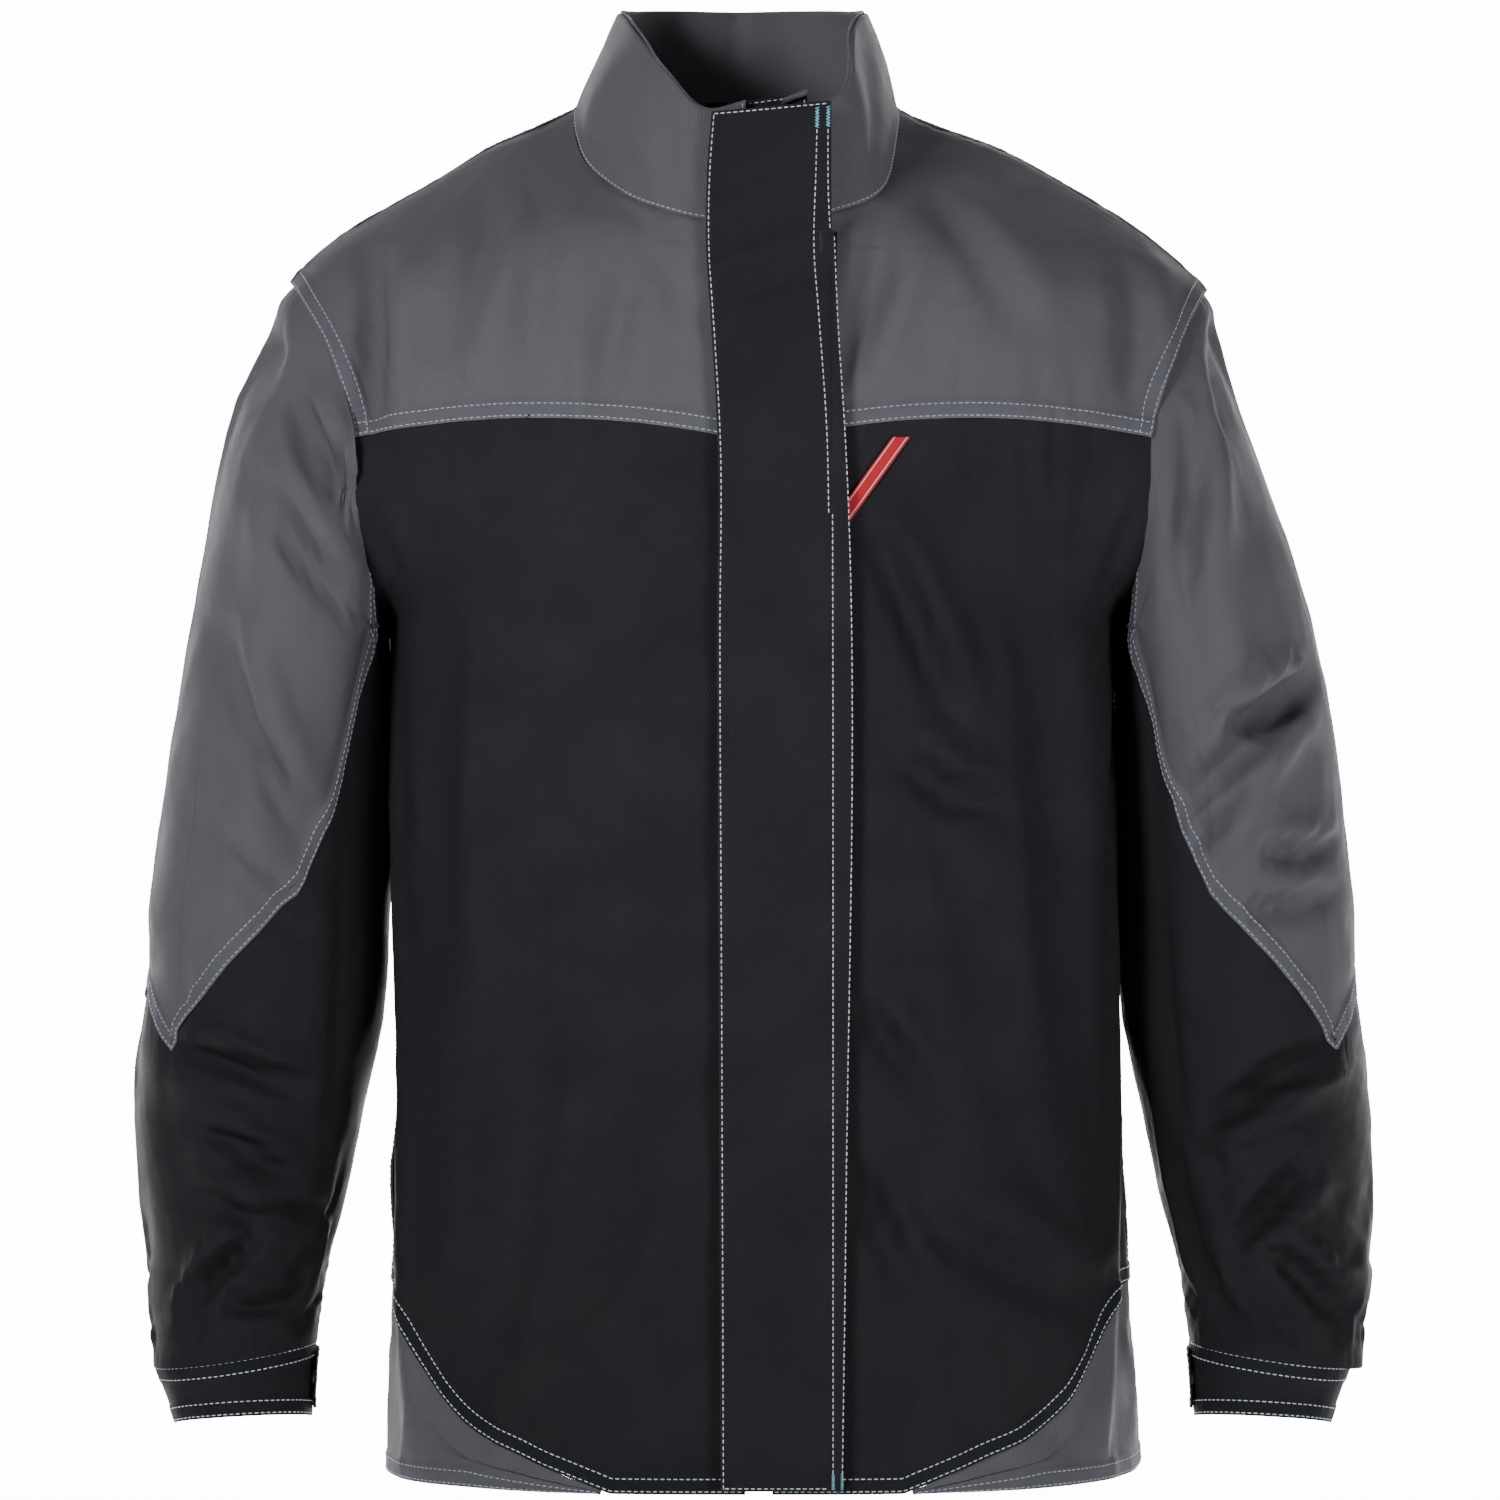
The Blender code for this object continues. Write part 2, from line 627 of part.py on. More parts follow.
def make_hanger_loop():
    """A ribbon bowed forward from its two sewn ends, with the origin in its middle."""
    rows = []
    for height in (-LOOP_HEIGHT / 2, LOOP_HEIGHT / 2):
        row = []
        for k in range(LOOP_STEPS + 1):
            angle = math.pi * (k / LOOP_STEPS - 0.5)
            row.append(Vector((LOOP_HALF * math.sin(angle),
                               LOOP_CLOTH / 2 + LOOP_BOW * (1.0 - math.cos(angle)) ** 1.5, height)))
        rows.append(row)
    cloth_piece("hanger_loop", "black_twill", rows, LOOP_CLOTH, Vector((0.0, -0.2, 0.0)))


# ---------------------------------------------------------------- front closure

def make_facings():
    """Strips of body cloth behind the front edges, from the hem to the neck seam."""
    for side, edge, name in SIDES:
        rows = [mirrored([front_point(s, t, edge) for s in FACING_COLUMNS], side) for t in FACING_ROWS]
        cloth_piece(f"front_facing_{name}", "black_twill", rows, LINING,
                    Vector((0.03 * side, 0.0, -0.40)), inset=FACING_INSET)


def make_zip():
    for side, _, name in SIDES:
        tape = sorted(ZIP_X + side * x for x in TAPE_SIDE)
        teeth = sorted(ZIP_X + side * x for x in TEETH_SIDE)
        board(f"zip_tape_{name}", "zip_tape_black", tape, (BAND_FOOT, ZIP_TOP), TAPE_OUT)
        board(f"zip_teeth_{name}", "zip_brass", teeth, (ZIP_FOOT, ZIP_TOP), TEETH_OUT)
    wide, long = SLIDER_SIZE
    x = (ZIP_X - wide / 2, ZIP_X + wide / 2)
    up = (SLIDER_UP - long / 2, SLIDER_UP + long / 2)
    slider = board("zip_slider", "zip_brass", x, up, PLATE_FRONT_OUT)
    back = board("slider_back_plate", "zip_brass", x, up, PLATE_BACK_OUT)
    post_x = (ZIP_X - POST_SIZE[0] / 2, ZIP_X + POST_SIZE[0] / 2)
    post = board("slider_post", "zip_brass", post_x, (up[1] - POST_SIZE[1], up[1] - OVERLAP),
                 (PLATE_BACK_OUT[0] + OVERLAP, PLATE_FRONT_OUT[1] - OVERLAP))
    bridge_x = (ZIP_X - BRIDGE_SIZE[0] / 2, ZIP_X + BRIDGE_SIZE[0] / 2)
    bridge = board("slider_bridge", "zip_brass", bridge_x,
                   (SLIDER_UP, SLIDER_UP + BRIDGE_SIZE[1]), BRIDGE_OUT)
    join_solids(slider, [post, back, bridge])
    pull_x = (ZIP_X - PULL_SIZE[0] / 2, ZIP_X + PULL_SIZE[0] / 2)
    pull_up = (PULL_HINGE[1] - PULL_SIZE[1], PULL_HINGE[1])
    board("zip_pull", "zip_brass", pull_x, pull_up, PULL_OUT, PULL_HINGE)
    board("zip_bottom_box", "zip_brass", (ZIP_X - BOX_HALF, ZIP_X + BOX_HALF), BOX_UP, BOX_OUT)
    board("wind_guard", "black_twill", WIND_GUARD_X, WIND_GUARD_UP, WIND_GUARD_OUT)


def make_flap():
    """The flap's origin is on its sewn edge, which is its hinge line."""
    board("storm_flap", "black_twill", FLAP_X, (FLAP_FOOT, FLAP_LENGTH), FLAP_OUT, FLAP_HINGE)
    board("flap_seam_band", "black_twill", BAND_X, (BAND_FOOT, BAND_LENGTH), BAND_OUT)
    for number, up in enumerate(SNAP_UPS, 1):
        disc(f"snap_stud_{number}", "snap_metal", STUD_RADIUS,
             front_plane(SNAP_X, up, STUD_OUT[0]), front_plane(SNAP_X, up, STUD_OUT[1]))
        disc(f"snap_socket_{number}", "snap_metal", SOCKET_RADIUS,
             front_plane(SNAP_X, up, SOCKET_OUT[0]), front_plane(SNAP_X, up, SOCKET_OUT[1]))


def make_label():
    """A slanting red label just below the left yoke, beside the flap."""
    rows = []
    for share in SHARES:
        low = mix(LABEL_FOOT[0], LABEL_TOP[0], share)
        high = mix(LABEL_FOOT[1], LABEL_TOP[1], share)
        up = mix(LABEL_UP[0], LABEL_UP[1], share)
        row = []
        for x in (low, (low + high) / 2, high):
            row.append(surface_at(x, up) + OUT * (LABEL_OUT + LABEL))
        rows.append(row)
    cloth_piece("chest_label", "red_label", rows, LABEL, Vector((0.07, 0.0, -0.22)))


def surface_at(x, up):
    """The left front panel's outer face at x, at a height up from the hem."""
    z = HEM_Z + up * UP.z
    t = 1.5
    for _ in range(20):
        point = point_at_width(x, t)
        t += (z - point.z) / (YOKE_Z - UNDERARM_Z)
    return point_at_width(x, t)


def point_at_width(x, t):
    """The left front's point at x on the row at t."""
    low, high = 0.0, 1.0
    for _ in range(30):
        middle = (low + high) / 2
        if front_point(middle, t, LEFT_EDGE).x < x:
            low = middle
        else:
            high = middle
    return front_point(low, t, LEFT_EDGE)


# ---------------------------------------------------------------- pockets

def inward(point, s, t):
    """The body surface's inward normal at s and t, on the +X side."""
    step = 0.004
    along = point(s + step, t) - point(s - step, t)
    up = point(s, t + step) - point(s, t - step)
    normal = along.cross(up).normalized()
    towards_axis = Vector((0.0, -0.07, 0.0)) - point(s, t)
    towards_axis.z = 0.0
    return normal if normal.dot(towards_axis) > 0 else -normal


def make_pockets():
    """Each bag is a flat pouch behind the front panel, open at the side seam."""
    for side, edge, name in SIDES:
        def point(s, t, edge=edge):
            return front_point(s, t, edge)
        rows = []
        for s, low, high, thick in BAG_COLUMNS:
            heights = [mix(low, high, k / BAG_STEPS) for k in range(BAG_STEPS + 1)]
            near = [point(s, t) + inward(point, s, t) * BAG_INSET for t in heights]
            depth = BAG_INSET + BAG_DEPTH * thick
            far = [point(s, t) + inward(point, s, t) * depth for t in reversed(heights)]
            rows.append(mirrored(near + far, side))
        pouch(f"pocket_bag_{name}", rows)
        rows = []
        for t in POCKET_FACING_ROWS:
            rows.append(mirrored([back_point(s, t) for s in POCKET_FACING_COLUMNS], side))
        cloth_piece(f"pocket_facing_{name}", "grey_twill", rows, LINING,
                    Vector((0.05 * side, -0.05, -0.60)), inset=FACING_INSET)


def pouch(name, rows):
    """A tube of rows, closed at its last row and open at its first, with cloth thickness."""
    width = len(rows[0])
    points = [p for row in rows for p in row]
    faces = []
    for i in range(len(rows) - 1):
        for j in range(width):
            k = (j + 1) % width
            faces.append((i * width + j, i * width + k, (i + 1) * width + k, (i + 1) * width + j))
    last = (len(rows) - 1) * width
    for j in range(width // 2 - 1):
        faces.append((last + j, last + j + 1, last + width - 2 - j, last + width - 1 - j))
    mesh = bpy.data.meshes.new(name)
    mesh.from_pydata(points, [], faces)
    mesh.update()
    middle = sum((Vector(v.co) for v in mesh.vertices), Vector()) / len(mesh.vertices)
    facing = sum((f.center - middle).dot(f.normal) * f.area for f in mesh.polygons)
    if facing < 0:
        mesh.flip_normals()
    thing = bpy.data.objects.new(name, mesh)
    bpy.context.scene.collection.objects.link(thing)
    solidify(thing, BAG)
    finish(thing, "pocket_cotton", smooth_faces=False)


# ---------------------------------------------------------------- sleeves and cuffs

def section_point(section, degrees):
    """A point of an elliptical section: 0 is outermost, positive angles turn to the front."""
    outer, inner, middle_y, half_depth = section
    angle = math.radians(degrees)
    across = math.cos(angle) / 2
    return Vector((mix(inner[0], outer[0], 0.5 + across),
                   middle_y - half_depth * math.sin(angle),
                   mix(inner[1], outer[1], 0.5 + across)))


def sleeve_line(degrees):
    """The sleeve's line from the armhole seam down to the cuff at one angle."""
    turned = (degrees + 180) % 360 - 180
    hole = HOLE_FRONT if turned >= 0 else HOLE_BACK
    start = hole.at(1.0 - abs(turned) / 180) + SLEEVE_SHIFT
    return Path([start] + [section_point(section, turned) for section in SLEEVE_SECTIONS])


def sleeve_rows(angles, shares, limits):
    """Rows across the given angles, at shares of each line between its two limits."""
    rows = []
    lines = [sleeve_line(a) for a in angles]
    for share in shares:
        rows.append([line.at(mix(low, high, share)) for line, (low, high) in zip(lines, limits)])
    return rows


def colour_seam(degrees):
    """Where the colour seam crosses a sleeve line, or 0 where the top panel doesn't reach."""
    turned = abs((degrees + 180) % 360 - 180)
    if turned not in COLOUR_SEAM:
        return 0.0
    return share_at_height(sleeve_line(degrees), COLOUR_SEAM[turned])


def make_sleeves():
    """The sleeve panels' origins are on the shoulder's hinge line."""
    for side, _, name in SIDES:
        inside = Vector((0.26 * side, -0.065, -0.40))
        hinge = mirrored([Vector(SHOULDER_HINGE)], side)[0]
        angles = list(range(-TOP_PANEL_EDGE, TOP_PANEL_EDGE + 1, SLEEVE_STEP))
        limits = []
        for a in angles:
            gap = SLEEVE_SEAM_GAP / sleeve_line(a).lengths[-1]
            limits.append((0.0, colour_seam(a) - gap))
        rows = [mirrored(row, side) for row in sleeve_rows(angles, TOP_PANEL_ROWS, limits)]
        top = cloth_piece(f"sleeve_top_panel_{name}", "grey_twill", rows, CLOTH, inside)
        move_origin(top, hinge)
        angles = list(range(-180, 180, SLEEVE_STEP))
        limits = []
        for a in angles:
            gap = SLEEVE_SEAM_GAP / sleeve_line(a).lengths[-1]
            seam = colour_seam(a)
            limits.append((seam + gap if seam else 0.0, 1.0 - gap))
        rows = [mirrored(row, side) for row in sleeve_rows(angles, UNDER_PANEL_ROWS, limits)]
        under = cloth_piece(f"sleeve_under_panel_{name}", "black_twill", rows, CLOTH, inside, ring=True)
        move_origin(under, hinge)


def cuff_point(degrees, share, lift=0.0):
    """A point of the cuff's outer face, share 0 at its top and 1 at its foot, on the +X side."""
    top, foot = section_point(CUFF_TOP, degrees), section_point(CUFF_FOOT, degrees)
    point = mix(top, foot, share)
    if lift:
        step = 3.0
        around = (mix(section_point(CUFF_TOP, degrees + step), section_point(CUFF_FOOT, degrees + step), share)
                  - mix(section_point(CUFF_TOP, degrees - step), section_point(CUFF_FOOT, degrees - step), share))
        normal = around.cross(foot - top).normalized()
        centre = mix(section_middle(CUFF_TOP), section_middle(CUFF_FOOT), share)
        if normal.dot(point - centre) < 0:
            normal = -normal
        point = point + normal * lift
    return point


def section_middle(section):
    return (section_point(section, 0) + section_point(section, 180)) / 2


def make_cuffs():
    """Each cuff is an open band. Its tab covers the slit and snaps down on the outside."""
    for side, _, name in SIDES:
        inside = section_middle(CUFF_TOP)
        inside.x *= side
        start, end = CUFF_SPAN
        angles = [mix(start, end, k / CUFF_STEPS) for k in range(CUFF_STEPS + 1)]
        rows = [mirrored([cuff_point(a, share) for a in angles], side) for share in SHARES]
        cloth_piece(f"cuff_{name}", "black_twill", rows, CUFF_CLOTH, inside)
        free, root = TAB_SPAN
        rows = []
        for share in (TAB_EDGE[0], 0.5, TAB_EDGE[1]):
            row = []
            for k in range(TAB_STEPS + 1):
                lift = mix(TAB_LIFT[0], TAB_LIFT[1], smooth(k / TAB_STEPS))
                row.append(cuff_point(mix(free, root, k / TAB_STEPS), share, lift))
            rows.append(mirrored(row, side))
        tab = cloth_piece(f"cuff_tab_{name}", "black_twill", rows, TAB_CLOTH, inside)
        move_origin(tab, mirrored([cuff_point(root, 0.5, TAB_LIFT[1])], side)[0])
        for part, out in (("stud", CUFF_STUD_OUT), ("socket", CUFF_SOCKET_OUT)):
            ends = mirrored([cuff_point(CUFF_SNAP_ANGLE, 0.5, lift) for lift in out], side)
            disc(f"cuff_snap_{part}_{name}", "snap_metal", CUFF_SNAP_RADIUS, ends[0], ends[1])


def move_origin(thing, point):
    """Sets an object's origin without moving its shape."""
    offset = point - thing.location
    for vertex in thing.data.vertices:
        vertex.co -= offset
    thing.location = point


def main():
    clear_scene()
    make_collections()
    make_fronts()
    make_back()
    make_hem_side_panels()
    make_collar()
    make_hanger_loop()
    make_facings()
    make_zip()
    make_flap()
    make_label()
    make_pockets()
    make_sleeves()
    make_cuffs()


main()
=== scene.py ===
"""Looks of a two-tone twill work jacket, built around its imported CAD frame.

Every cloth panel is cut from a smooth surface. The body and sleeves' surfaces repeat the CAD
panels' shapes, get their folds pressed in, are relaxed by one cloth simulation, and are then drawn
out sideways to the hanging jacket's outline. A panel is a fine grid whose rows lie at true
distances from its edges, so that raised seams, stitch grooves, puckers and stitches follow them.
"s" and "t" are the CAD source's: s runs from the front or back middle (0) to the side seam and
armhole (1), and t up the panel: 0 hem, 1 underarm, 2 yoke seam, 3 shoulder seam. The front faces
-Y, and "left" is the wearer's left, at +X.
"""

import math

import bpy
import numpy as np
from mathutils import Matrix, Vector


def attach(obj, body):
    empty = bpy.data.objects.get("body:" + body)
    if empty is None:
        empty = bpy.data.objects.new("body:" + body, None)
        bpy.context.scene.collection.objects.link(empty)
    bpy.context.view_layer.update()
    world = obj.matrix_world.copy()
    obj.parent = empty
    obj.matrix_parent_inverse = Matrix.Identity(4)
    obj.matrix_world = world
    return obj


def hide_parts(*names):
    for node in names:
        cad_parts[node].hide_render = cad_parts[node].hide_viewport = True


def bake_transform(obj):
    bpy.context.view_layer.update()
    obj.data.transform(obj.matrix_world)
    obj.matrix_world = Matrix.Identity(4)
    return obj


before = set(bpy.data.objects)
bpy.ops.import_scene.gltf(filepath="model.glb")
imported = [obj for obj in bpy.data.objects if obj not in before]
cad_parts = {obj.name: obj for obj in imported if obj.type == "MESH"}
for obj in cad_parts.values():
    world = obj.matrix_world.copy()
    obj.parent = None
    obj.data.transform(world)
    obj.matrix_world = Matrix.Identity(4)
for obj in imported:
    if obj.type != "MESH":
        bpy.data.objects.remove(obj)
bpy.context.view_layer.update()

MM = 0.001

# Body outline at +X, as in the CAD source but for slightly fuller shoulders
HEM_Z = -0.752
UNDERARM_Z = -0.290
YOKE_Z = -0.197
FRONT_HEM = Vector((0.0, -0.215, HEM_Z))
LEAN = math.atan(0.0725)
UP = Vector((0.0, math.sin(LEAN), math.cos(LEAN)))
OUT = Vector((0.0, -math.cos(LEAN), math.sin(LEAN)))
LEFT_EDGE = 0.010
RIGHT_EDGE = 0.004
SIDES = ((1, LEFT_EDGE, "left"), (-1, RIGHT_EDGE, "right"))
SIDE_SEAM = [(0.206, -0.070, HEM_Z), (0.203, -0.070, -0.640), (0.198, -0.070, -0.550),
             (0.198, -0.072, -0.400), (0.199, -0.075, UNDERARM_Z)]
ARMHOLE_FRONT = [(0.199, -0.075, UNDERARM_Z), (0.209, -0.118, -0.268), (0.2140, -0.137, -0.225),
                 (0.2145, -0.138, -0.1935), (0.228, -0.120, -0.146), (0.243, -0.096, -0.119),
                 (0.250, -0.070, -0.1085)]
ARMHOLE_BACK = [(0.199, -0.075, UNDERARM_Z), (0.209, -0.012, -0.262), (0.2150, 0.014, -0.222),
                (0.2165, 0.018, -0.1900), (0.230, -0.002, -0.144), (0.244, -0.036, -0.118),
                (0.250, -0.070, -0.1085)]
YOKE_POINT = 3
NECK = [(0.0, -0.1661, -0.078), (0.0265, -0.1655, -0.078), (0.0466, -0.158, -0.0727),
        (0.066, -0.143, -0.064), (0.081, -0.117, -0.047), (0.0885, -0.088, -0.024),
        (0.087, -0.060, -0.006), (0.072, -0.022, -0.001), (0.042, 0.006, -0.003),
        (0.0, 0.014, -0.005)]
NECK_SIDE = 6
BACK_CENTRE = [(0.0, 0.050, HEM_Z), (0.0, 0.048, -0.560), (0.0, 0.056, UNDERARM_Z),
               (0.0, 0.056, -0.205), (0.0, 0.040, -0.090), (0.0, 0.014, -0.005)]
BACK_YOKE_POINT = 3
FRONT_ROUNDNESS = 2.7
BACK_ROUNDNESS = 2.4
CHEST_CURVE = 2.2
YOKE_RISE = 0.011
SHOULDER_RISE = 0.0115
YOKE_CROWN = 0.009
CROWN_START = 0.25
HEM_CORNER = [(0.22, 0.0), (0.35, 0.016), (0.50, 0.036), (0.60, 0.060), (0.70, 0.086),
              (0.85, 0.098), (1.0, 0.100)]
CORNER_START = 0.235
MOUTH_T = (0.225, 0.535)        # the pocket mouth in the side seam
MOUTH_GAPE = 0.0045
SIDE_ARC = 0.25

# Collar top edges: the right one (-X) slants, the left one (+X) stands nearly upright
COLLAR_TOP_RIGHT = [(0.0, -0.1617, -0.0130), (0.0265, -0.1612, -0.0180), (0.045, -0.150, 0.001),
                    (0.0580, -0.128, 0.022), (0.067, -0.098, 0.038), (0.072, -0.066, 0.0455),
                    (0.064, -0.030, 0.050), (0.038, 0.001, 0.0545), (0.0, 0.010, 0.055)]
COLLAR_TOP_LEFT = [(0.0, -0.1617, -0.0175), (0.0340, -0.1612, -0.0165), (0.0505, -0.150, -0.006),
                   (0.0590, -0.128, 0.020), (0.067, -0.098, 0.038), (0.072, -0.066, 0.0455),
                   (0.064, -0.030, 0.050), (0.038, 0.001, 0.0545), (0.0, 0.010, 0.055)]
COLLAR_SWELL = 0.0022
COLLAR_DEPTH = 0.0042           # outer face to the lining's face

# Sleeves and cuffs at +X: (outer x, outer z), (inner x, inner z), middle y, half depth
SLEEVE_SECTIONS = [
    ((0.2745, -0.165), (0.2012, -0.318), -0.062, 0.0800),
    ((0.2930, -0.235), (0.2008, -0.355), -0.062, 0.0790),
    ((0.3085, -0.300), (0.2008, -0.395), -0.062, 0.0765),
    ((0.3215, -0.375), (0.2008, -0.440), -0.062, 0.0735),
    ((0.3310, -0.455), (0.2028, -0.500), -0.064, 0.0690),
    ((0.3385, -0.540), (0.2130, -0.553), -0.068, 0.0640),
    ((0.3380, -0.605), (0.2235, -0.605), -0.076, 0.0580),
    ((0.3350, -0.655), (0.2335, -0.645), -0.086, 0.0510),
    ((0.3285, -0.698), (0.2385, -0.685), -0.0935, 0.0455),
]
SLEEVE_SHIFT = Vector((-0.0010, 0.0, 0.0))
SLEEVE_TOUCH = (0.0036, -0.47, 0.09)    # leans on the torso: by how much, down to z, fading over
COLOUR_SEAM = [(0, -0.489), (15, -0.4975), (30, -0.510), (45, -0.523), (60, -0.499), (75, -0.478),
               (90, -0.458), (105, -0.438), (120, -0.397), (135, -0.338), (150, -0.300),
               (180, -0.300)]
TOP_PANEL_EDGE = 150
CUFF_TOP = ((0.3265, -0.6965), (0.2395, -0.6835), -0.0935, 0.0435)
CUFF_FOOT = ((0.3145, -0.7285), (0.2415, -0.7245), -0.1000, 0.0370)
CUFF_FRONT_RISE = 0.006         # how much higher the foot hangs at the front
CUFF_SPAN = (-162, 186)
TAB_SPAN = (170, 224)
CUFF_SNAP_ANGLE = 179
TAB_LIFT = (0.0028, 0.0016)
TAB_EDGE = (0.10, 0.90)

# How the jacket hangs: (z, x) of each side's outermost points from the hem or cuff upwards
SLEEVE_OUTLINES = {
    "right": [(-0.690, 0.3275), (-0.650, 0.3330), (-0.610, 0.3380), (-0.569, 0.3415), (-0.529, 0.3415),
              (-0.489, 0.3350), (-0.449, 0.3345), (-0.408, 0.3290), (-0.368, 0.3235), (-0.328, 0.3170),
              (-0.288, 0.3100), (-0.247, 0.3030), (-0.207, 0.2960), (-0.167, 0.2845), (-0.126, 0.2630)],
    "left": [(-0.690, 0.3330), (-0.650, 0.3400), (-0.610, 0.3415), (-0.569, 0.3415), (-0.529, 0.3385),
             (-0.489, 0.3325), (-0.449, 0.3320), (-0.408, 0.3275), (-0.368, 0.3235), (-0.328, 0.3170),
             (-0.288, 0.3080), (-0.247, 0.2955), (-0.207, 0.2805), (-0.167, 0.2660), (-0.126, 0.2540)],
}
SIDE_OUTLINES = {
    "right": [(-0.752, 0.1975), (-0.710, 0.1980), (-0.670, 0.1975), (-0.630, 0.1960), (-0.590, 0.1920),
              (-0.550, 0.1890), (-0.500, 0.1920), (-0.450, 0.1955), (-0.400, 0.1985), (-0.290, 0.1990)],
    "left": [(-0.752, 0.2130), (-0.710, 0.2115), (-0.670, 0.2075), (-0.630, 0.2055), (-0.590, 0.2035),
             (-0.550, 0.2020), (-0.500, 0.2010), (-0.400, 0.1990), (-0.290, 0.1990)],
}
SHOULDER_SWELL = ((-0.235, -0.090), 0.062, 0.0070)      # right shoulder: where, how wide, how far
NECK_CORNER_EASE = 24           # rounds of evening out the yoke beside the neck's front corner
NECK_LEAN = -0.009              # the collar's and neck's shift along X at the back and sides

# Front closure, in the front plane: x, up from the hem, out from the cloth
FLAP_LEFT_X = [(0.0, -0.0170), (0.25, -0.0180), (0.45, -0.0190), (0.56, -0.0190), (0.62, -0.0225),
               (0.66, -0.0250), (0.70, -0.0245), (0.74, -0.0215)]
FLAP_RIGHT_X = 0.0417
FLAP_OUT = 0.0062
FLAP_FOOT = 0.002
FLAP_TOP = (0.7322, 0.7382)     # at its left and right ends
BAND_RIGHT_X = [(0.0, 0.0465), (0.15, 0.0490), (0.56, 0.0490), (0.62, 0.0450), (0.67, 0.0428)]
BAND_LEFT_X = 0.0417
BAND_LENGTH = 0.668
BAND_LINE_END = 0.52            # the band's left stitch line ends at this height
FLAP_LINES = (                  # its two stitch lines beside the band: (up, x)
    [(0.515, 0.0402), (0.56, 0.0392), (0.62, 0.0352), (0.66, 0.0324), (0.70, 0.0335), (0.7360, 0.0344)],
    [(0.667, 0.0411), (0.685, 0.0402), (0.71, 0.0399), (0.7365, 0.0402)],
)
WIND_GUARD_X = (-0.014, 0.0290)
WIND_GUARD_TOP = (0.7385, 0.7445)
WIND_GUARD_OUT = -0.0060
ZIP_X = 0.003
ZIP_UP = (0.014, 0.712)
TAPE_SIDE = (0.0026, 0.0150)
TAPE_OUT = -0.0022
TOOTH_PITCH = 0.0027
SLIDER_UP = 0.700
SNAP_X = -0.011
SNAP_UPS = (0.080, 0.225, 0.370, 0.515, 0.660)
FACING_INSET = 0.0047           # outer cloth's face to the facings' inner faces
BAG_INSET = 0.0032
BAG_DEPTH = 0.0085
BAG_SHAPE = [(0.0, 0.235, 0.525, 1.0), (0.14, 0.225, 0.530, 0.95), (0.36, 0.190, 0.538, 0.80),
             (0.57, 0.160, 0.540, 0.70), (0.79, 0.135, 0.540, 0.65), (1.0, 0.150, 0.510, 0.30)]
BAG_REACH = (0.965, 0.50)       # s at the bag's mouth and at its closed end
FACING_BULGE = {"left": 0.0022, "right": 0.0095}
LOOP_HALF = 0.027
LOOP_BOW = 0.0034
LOOP_HEIGHT = 0.007
LABEL_FOOT = (0.0415, 0.0512)
LABEL_TOP = (0.0740, 0.0836)
LABEL_UP = (0.5130, 0.5585)
LABEL_SHOWN = 0.0497            # it goes under the flap's seam band at this x
LABEL_LINE = 0.0033             # its woven lines' distance from its middle

# Cloth
CLOTH = 1.4 * MM
LINING = 1.2 * MM
PITCH = 2.6 * MM                # spacing of a panel's grid away from its edges
STITCH_PITCH = 3.4 * MM
STITCH_LENGTH = 2.4 * MM
THREAD = 0.30 * MM              # thread radius
TACK_STITCHES = 14
FIRST_LINE = 1.5 * MM           # stitch lines' distances from a seam's edge
SECOND_LINE = 8.0 * MM
TUCK_UNDER = 0.012              # how far the panels reach under the yokes, in t
BAND_WIDTH = 9.0 * MM           # a felled seam's raised width

# The coarse grids that hold the smooth surfaces: across, along
HALF_COLUMNS = np.linspace(0, 1, 40)
BODY_ROWS = np.concatenate([np.linspace(0, 1, 52), np.linspace(1, 2, 12)[1:],
                            np.linspace(2, 3, 30)[1:]])
SLEEVE_ANGLES = np.arange(-180, 180, 8)
SLEEVE_ROWS = np.linspace(0, 1, 68)
COLLAR_COLUMNS = np.linspace(-1, 1, 81)
COLLAR_ROWS = np.linspace(0, 1, 10)

# Points well inside the body, from which its surfaces face away
TORSO_MIDDLE = (0.0, -0.07, -0.40)
YOKE_MIDDLE = (0.0, -0.07, -0.22)
COLLAR_MIDDLE = (0.0, -0.07, 0.0)

# Cloth simulation: its frames, and how far a point may move
SIM_FRAMES = 26
MOVE_LIMIT = 0.009
MOST_GROWTH = 0.05              # how much longer the cloth grows where its growth is 1
SLEEVE_GROWTH = 1.0
FRONT_GROWTH = 0.45
BACK_GROWTH = 0.6

# Folds
FIRST_PRESS = 1.3               # shares of the folds' depths, before and after the simulation
SECOND_PRESS = 0.9
SLEEVE_PRESS = 1.3              # the sleeves' front folds are this much deeper again
VALLEY_SHARPNESS = 1.7
RIDGE_SHARE = 0.65
RIDGE_PLACE = 1.25

# (points (x, z), half width, depth) of each fold as seen from the front; depth < 0 is a ridge
RIGHT_BODY_FOLDS = [
    ([(-0.202, -0.088), (-0.203, -0.140), (-0.206, -0.196)], 0.0125, 0.0052),
    ([(-0.063, -0.066), (-0.050, -0.098), (-0.034, -0.132)], 0.013, 0.0020),
    ([(-0.135, -0.055), (-0.150, -0.105), (-0.168, -0.160)], 0.015, 0.0032),
    ([(-0.112, -0.050), (-0.116, -0.110), (-0.122, -0.175)], 0.015, 0.0020),
    ([(-0.060, -0.085), (-0.072, -0.130), (-0.082, -0.185)], 0.013, 0.0022),
    ([(-0.168, -0.250), (-0.172, -0.380), (-0.165, -0.520)], 0.016, 0.0034),
    ([(-0.060, -0.300), (-0.090, -0.420), (-0.120, -0.600)], 0.024, 0.0026),
    ([(-0.045, -0.560), (-0.080, -0.640), (-0.130, -0.690)], 0.016, 0.0024),
]
